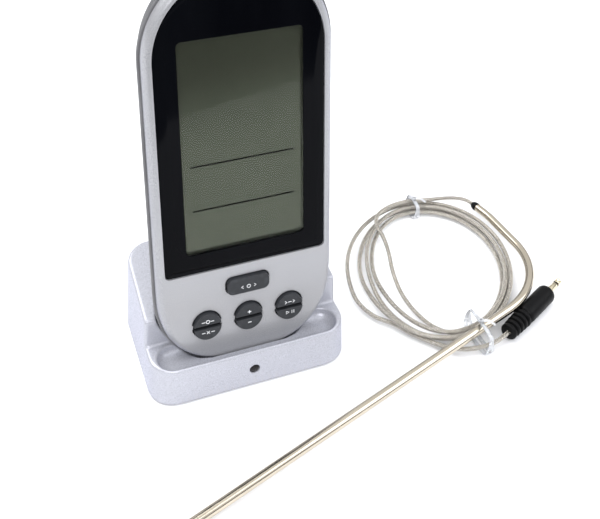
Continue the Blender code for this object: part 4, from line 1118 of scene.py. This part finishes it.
def make_cable():
    """A woven braid: six flat wires each way, passing over and under each other round a dark core."""
    spacing = BRAID_LAY / BRAID_CARRIERS / 4
    path, places = even_path(cable_path(), spacing)
    tangents, first, second = path_axes(path)
    core = tube("cable_core", path[::3], CORE_RADIUS, CORE, 10)
    core.data.shade_smooth()
    finish_piece(core, "probe_set", "dark_rubber")
    vertices, faces = [], []
    count = len(path)
    wave = np.cos(2 * math.pi * BRAID_CARRIERS * places / BRAID_LAY)
    for direction in (1.0, -1.0):
        slant = direction * 2 * math.pi * BRAID_RADIUS / BRAID_LAY
        lean = math.hypot(1.0, slant)
        for carrier in range(BRAID_CARRIERS):
            angle = 2 * math.pi * (direction * places / BRAID_LAY + carrier / BRAID_CARRIERS)
            radius = BRAID_RADIUS + direction * BRAID_WAVE * wave
            offset = len(vertices)
            rows = []
            for side, lift in ((-1.0, -0.04), (0.0, RIBBON_CROWN), (1.0, -0.04)):
                turn = angle + side * RIBBON_WIDTH / 2 / lean / BRAID_RADIUS
                slide = -side * RIBBON_WIDTH / 2 * slant / lean
                reach = (radius + lift)[:, None]
                rows.append(path + reach * (np.cos(turn)[:, None] * first + np.sin(turn)[:, None] * second)
                            + slide * tangents)
            vertices.extend(np.stack(rows, axis=1).reshape(-1, 3))
            for index in range(count - 1):
                a = offset + index * 3
                b = a + 3
                faces += [(a, a + 1, b + 1, b), (a + 1, a + 2, b + 2, b + 1), (a + 2, a, b, b + 2)]
            end = offset + (count - 1) * 3
            faces += [(offset + 2, offset + 1, offset), (end, end + 1, end + 2)]
    braid = tidy_normals(add_mesh("cable_braid", vertices, faces, BRAID))
    braid.data.shade_smooth()
    finish_piece(braid, "probe_set", "braided_steel", "braided_cable")


def make_shaft():
    path = shaft_path()
    radii = [SHAFT_RADIUS] * len(path)
    for index, share in enumerate((0.03, 0.13, 0.27, 0.44, 0.62, 0.78, 0.92, 0.99)):
        radii[index] = SHAFT_RADIUS * share
    shaft = smooth(tube("steel_tube", path, SHAFT_RADIUS, STEEL, 48, radii), 60.0, weighted=False)
    finish_piece(shaft, "probe_set", "polished_steel", "probe_shaft")
    out = (path[-1] - path[-2]).normalized()
    profile = [(0.1, 1.1), (0.1, 1.62), (0.35, 1.74), (1.3, 1.74), (2.2, 1.60), (2.9, 1.34), (3.15, 1.16),
               (3.15, 1.0)]
    collar = smooth(turned("shrink_sleeve", profile, BLACK_RUBBER, path[-1], out, 40), weighted=False)
    finish_piece(collar, "probe_set", "dark_rubber", "heat_shrink_collar")


def make_plug():
    rear = Vector(PLUG_REAR)
    profile = [(0.35, 0.0), (0.35, 0.95), (0.0, 1.2), (0.0, 2.6), (0.15, 2.85)]
    for rib in range(5):
        start = 0.3 + rib * 2.25
        radius = 2.95 + 0.12 * rib
        for along, grow in ((0.0, 0.0), (0.25, 0.14), (0.6, 0.18), (0.95, 0.14), (1.2, -0.05), (1.35, -0.55),
                            (1.55, -0.80), (1.8, -0.80), (2.0, -0.60)):
            profile.append((start + along, radius + grow))
    profile += [(11.7, 3.3), (12.0, 3.5), (12.5, 3.58), (PLUG_LENGTH - 2.4, PLUG_RADIUS),
                (PLUG_LENGTH - 1.4, 3.53), (PLUG_LENGTH - 0.7, 3.3), (PLUG_LENGTH - 0.2, 2.9),
                (PLUG_LENGTH, 2.4), (PLUG_LENGTH, 1.45), (PLUG_LENGTH - 0.3, 1.3), (PLUG_LENGTH - 0.3, 0.0)]
    body = smooth(turned("plug_moulding", profile, BLACK_RUBBER, rear, PLUG_AXIS, 56), 40.0, weighted=False)
    finish_piece(body, "probe_set", "dark_rubber", "plug_body")
    nose = rear + PLUG_AXIS * (PLUG_LENGTH - PIN_INSERT)
    sleeve = [(PIN_INSERT - 0.28, 0.0), (PIN_INSERT - 0.28, PIN_RADIUS), (9.65, PIN_RADIUS),
              (9.8, PIN_RADIUS - 0.1), (9.8, 0.0)]
    ring = [(9.85, 0.0), (9.85, 1.13), (9.95, 1.16), (10.5, 1.16), (10.6, 1.13), (10.6, 0.0)]
    tip = [(10.62, 0.0), (10.62, 1.18), (10.75, PIN_RADIUS), (11.3, PIN_RADIUS), (11.6, 1.1), (11.85, 0.92),
           (12.05, 1.02), (12.35, 1.22), (12.7, 1.2), (13.1, 0.98), (13.4, 0.72), (13.62, 0.4), (13.68, 0.0)]
    for name, profile, material, slot, node in (
            ("pin_sleeve", sleeve, GOLD, "gold_plating", "plug_sleeve"),
            ("pin_ring", ring, BLACK_RUBBER, "dark_rubber", "plug_insulator"),
            ("pin_tip", tip, GOLD, "gold_plating", "plug_tip")):
        piece = smooth(turned(name, profile, material, nose, PLUG_AXIS, 40), 40.0, weighted=False)
        finish_piece(piece, "probe_set", slot, node)


def film(name, path, width, thickness, across):
    """A strip of film along a path; across gives the strip's width direction at each point."""
    rings = []
    for index, point in enumerate(path):
        ahead = Vector(path[min(index + 1, len(path) - 1)]) - Vector(path[max(index - 1, 0)])
        side = Vector(across[index])
        side = (side - ahead * side.dot(ahead) / ahead.length_squared).normalized()
        out = ahead.cross(side).normalized()
        rings.append([Vector(point) + side * width / 2 * math.cos(a) + out * thickness / 2 * math.sin(a)
                      for a in np.linspace(0.0, 2 * math.pi, 10, endpoint=False)])
    return loft(name, rings, CLEAR_TIE)


# Ties: name, x, centre (y, z), half width, half height, and how far the two windings splay
TIES = (("rear", 92.5, (40.6, 3.95), 4.6, 3.55, 1.0),
        ("front", 82.5, (-32.2, 4.75), 8.2, 4.4, 1.3))


def make_ties():
    """Clear ties: film wound twice round the bundle, knotted on top, with two loose ends."""
    for name, x, (y, z), half_y, half_z, splay in TIES:
        wound, sides = [], []
        for step in range(97):
            angle = math.radians(90.0 + 720.0 * step / 96)
            across = math.copysign(abs(math.cos(angle)) ** 0.5, math.cos(angle))
            up = math.copysign(abs(math.sin(angle)) ** 0.5, math.sin(angle))
            drift = splay * math.sin(math.radians(360.0 * step / 96)) * (1.0 - up) / 2
            wobble = 0.12 * math.sin(5 * angle + step / 9)
            wound.append((x + drift, y + (half_y + wobble) * across, z + (half_z + wobble) * up))
            sides.append((1.0, 0.35 * math.sin(2 * angle), 0.35 * math.cos(3 * angle)))
        parts = [film(f"{name}_windings", wound, 1.5, 0.26, sides)]
        top = Vector((x, y, z + half_z))
        knot = [top + Vector((0.75 * math.cos(a), 0.75 * math.sin(a), 0.3 + 0.06 * a))
                for a in np.linspace(0.0, 4 * math.pi, 33)]
        parts.append(tube(f"{name}_knot", knot, 0.38, CLEAR_TIE, 8))
        lift = Vector((0, 0, 0.5))
        for end, reach in (((1.0, -0.6, 0.25), 4.6), ((-0.5, -0.9, 0.5), 2.6)):
            tail = smooth_path([top + lift, top + Vector(end) * reach * 0.5 + lift,
                                top + Vector((end[0], end[1], -0.1)) * reach], 0.4)
            parts.append(film(f"{name}_tail", tail, 1.1, 0.24, [(0.5, 0.8, 0.4)] * len(tail)))
        tie = joined(f"{name}_tie", parts)
        tie.data.shade_smooth()
        finish_piece(tie, "probe_set", "clear_tie", f"twist_tie_{name}")


# Pieces kept from the frame -----------------------------------------------------------------


def paint_frame_nodes():
    """Each frame node that still shows takes a material of its own kind."""
    finishes = {
        DARK: ("base_bottom_cover", "probe_jack", "power_switch_body", "power_switch_knob", "buzzer"),
        BLACK_RUBBER: ("keypad_membrane",),
        BOARD: ("base_circuit_board", "receiver_circuit_board"),
        WHITE: ("indicator_led", "lcd_frame", "probe_sensor"),
        GOLD: ("base_antenna", "receiver_antenna"),
        FITTING: ("base_spring_lower", "base_spring_upper", "base_contact_lower", "base_contact_upper",
                  "receiver_spring_left", "receiver_spring_right", "receiver_contact_left",
                  "receiver_contact_right"),
        make_cell_wrap("wrap_lower", 0, 22.25, -1.0): ("base_cell_lower",),
        make_cell_wrap("wrap_upper", 0, -22.25, 1.0): ("base_cell_upper",),
        make_cell_wrap("wrap_left", 2, 110.0, -1.0): ("receiver_cell_left",),
        make_cell_wrap("wrap_right", 2, 65.8, 1.0): ("receiver_cell_right",),
    }
    for material, nodes in finishes.items():
        for node in nodes:
            obj = NODES[node]
            if not obj.material_slots:
                obj.data.materials.append(material)
            for slot in obj.material_slots:
                slot.material = material
            obj.data.shade_smooth()
            obj.data.set_sharp_from_angle(angle=math.radians(35.0))


# Studio -----------------------------------------------------------------------------------

CAMERA_PLACE = (-79.24, -252.42, 264.56)
CAMERA_YAW = math.radians(21.64)
CAMERA_PITCH = math.radians(26.12)
CAMERA_ROLL = math.radians(1.93)
LENS = 58.62
SENSOR = 36.0
SHIFT = {"shift_x": 0.0027, "shift_y": -0.4325}
# How far in metres the camera is from its place when the shift starts and ends its fall to zero
# (curve keys closer than 0.01 would be merged into one)
SHIFT_LETS_GO = (0.02, 0.04)

FLOOR_HALF = 2500.0
FLOOR_HEIGHT = -0.02

# A dark card in front, seen in reflections only: its near edge is y = CARD_EDGE[0] + CARD_EDGE[1] * x
CARD_EDGE = (-243.0, -0.31)
CARD_SIDES = (-500.0, 900.0)
CARD_FAR_Y = -1800.0
CARD_HEIGHT = 0.3

# Area lights: name, place, aim, width and height in metres, power in watts, colour
LIGHTS = (
    ("key", (-0.55, 0.55, 0.95), (0.02, 0.0, 0.03), (0.9, 0.7), 7.5, (1.0, 1.0, 1.0)),
    ("fill", (0.75, -0.35, 0.7), (0.03, 0.0, 0.03), (0.8, 0.8), 4.0, (0.96, 0.97, 1.0)),
    ("front", (-0.30, -0.80, 0.70), (0.02, 0.0, 0.03), (0.7, 0.5), 4.5, (0.98, 0.98, 1.0)),
    ("top", (-0.15, 0.0, 1.1), (-0.02, 0.0, 0.0), (0.8, 0.6), 4.5, (1.0, 1.0, 1.0)),
)

# The surroundings: their level in reflections from straight down (0) to straight up (1) and the tint
# of that, the colour the camera sees past the floor, and the even colour that lights matt surfaces
SKY_LEVELS = ((0.0, 0.9), (0.47, 0.75), (0.50, 0.10), (0.57, 0.12), (0.68, 0.90), (1.0, 1.05))
SKY_TINT = (0.97, 0.98, 1.0)
SKY_SEEN = (0.96, 0.97, 1.0, 1.0)
SKY_AMBIENT = (0.83, 0.84, 0.87, 1.0)


def make_camera():
    """The view is cropped from the lower part of a wider picture, so the lens is shifted down.

    The shift is for this viewpoint only. A driver measures how far the camera is from a marker left at
    its place, and the driver's curve turns that distance into the shift, which is zero anywhere else.
    """
    forward = Vector((math.sin(CAMERA_YAW) * math.cos(CAMERA_PITCH),
                      math.cos(CAMERA_YAW) * math.cos(CAMERA_PITCH), -math.sin(CAMERA_PITCH)))
    level = Vector((math.cos(CAMERA_YAW), -math.sin(CAMERA_YAW), 0.0))
    up = level.cross(forward)
    right = math.cos(CAMERA_ROLL) * level + math.sin(CAMERA_ROLL) * up
    top = -math.sin(CAMERA_ROLL) * level + math.cos(CAMERA_ROLL) * up
    camera = bpy.data.objects.new("camera", bpy.data.cameras.new("camera"))
    SCENE.collection.objects.link(camera)
    camera.data.lens = LENS
    camera.data.sensor_width = SENSOR
    camera.data.clip_start = 0.01
    place = Matrix((right, top, -forward)).transposed().to_4x4()
    place.translation = Vector(CAMERA_PLACE) * MM
    camera.matrix_world = place
    marker = bpy.data.objects.new("camera_place", None)
    SCENE.collection.objects.link(marker)
    marker.location = place.translation
    for name, value in SHIFT.items():
        curve = camera.data.driver_add(name)
        while curve.modifiers:
            curve.modifiers.remove(curve.modifiers[0])
        curve.driver.type = "SUM"
        distance = curve.driver.variables.new()
        distance.type = "LOC_DIFF"
        distance.targets[0].id = camera
        distance.targets[1].id = marker
        stops = ((0.0, value), (SHIFT_LETS_GO[0], value), (SHIFT_LETS_GO[1], 0.0))
        curve.keyframe_points.add(len(stops))
        for point, stop in zip(curve.keyframe_points, stops):
            point.co = stop
            point.interpolation = "LINEAR"
        curve.extrapolation = "CONSTANT"
        curve.update()
    SCENE.camera = camera


def area_light(name, place, aim, size, power, colour):
    light = bpy.data.lights.new(name, "AREA")
    light.shape = "RECTANGLE"
    light.size, light.size_y = size
    light.energy = power
    light.color = colour
    lamp = bpy.data.objects.new(name, light)
    lamp.location = place
    lamp.rotation_euler = (Vector(aim) - Vector(place)).to_track_quat("-Z", "Y").to_euler()
    SCENE.collection.objects.link(lamp)


def stage_sheet(name, corners, height, material):
    sheet = add_mesh(name, at_height(corners, height), [(0, 1, 2, 3)], material)
    return sheet


def make_floor_and_card():
    half = FLOOR_HALF
    stage_sheet("studio_floor", ((-half, -half), (half, -half), (half, half), (-half, half)), FLOOR_HEIGHT,
                make_floor())
    shade = Shader("dark_card", Base_Color=(0.012, 0.010, 0.008, 1.0))
    near = [(x, CARD_EDGE[0] + CARD_EDGE[1] * x) for x in CARD_SIDES]
    far = [(x, CARD_FAR_Y) for x in reversed(CARD_SIDES)]
    card = stage_sheet("dark_card", near + far, CARD_HEIGHT, shade.material)
    card.visible_camera = False
    card.visible_diffuse = False
    card.visible_shadow = False
    card.visible_transmission = False


def make_world():
    world = bpy.data.worlds.new("studio")
    SCENE.world = world
    world.use_nodes = True
    tree = world.node_tree
    ramp = tree.nodes.new("ShaderNodeValToRGB")
    while len(ramp.color_ramp.elements) < len(SKY_LEVELS):
        ramp.color_ramp.elements.new(0.5)
    for element, (position, level) in zip(ramp.color_ramp.elements, SKY_LEVELS):
        element.position = position
        element.color = (*tinted(SKY_TINT, level), 1.0)
    height = tree.nodes.new("ShaderNodeSeparateXYZ")
    tree.links.new(tree.nodes.new("ShaderNodeTexCoord").outputs["Generated"], height.inputs[0])
    spread = tree.nodes.new("ShaderNodeMapRange")
    spread.inputs["From Min"].default_value = -1.0
    tree.links.new(height.outputs["Z"], spread.inputs["Value"])
    tree.links.new(spread.outputs[0], ramp.inputs[0])
    colour = ramp.outputs[0]
    for ray, level in (("Is Camera Ray", SKY_SEEN), ("Is Diffuse Ray", SKY_AMBIENT)):
        mix = tree.nodes.new("ShaderNodeMix")
        mix.data_type = "RGBA"
        tree.links.new(tree.nodes.new("ShaderNodeLightPath").outputs[ray], mix.inputs["Factor"])
        tree.links.new(colour, mix.inputs["A"])
        mix.inputs["B"].default_value = level
        colour = mix.outputs["Result"]
    tree.links.new(colour, tree.nodes["Background"].inputs["Color"])
    SCENE.view_settings.view_transform = "Standard"


make_housing()
make_base_fittings()
make_pad()
make_rear_door()
make_front_shell()
make_bezel()
make_display()
make_band()
make_back_shell()
make_receiver_door()
make_receiver_screws()
make_keys()
make_symbols()
make_cable()
make_shaft()
make_plug()
make_ties()
paint_frame_nodes()
make_floor_and_card()
for light in LIGHTS:
    area_light(*light)
make_world()
make_camera()
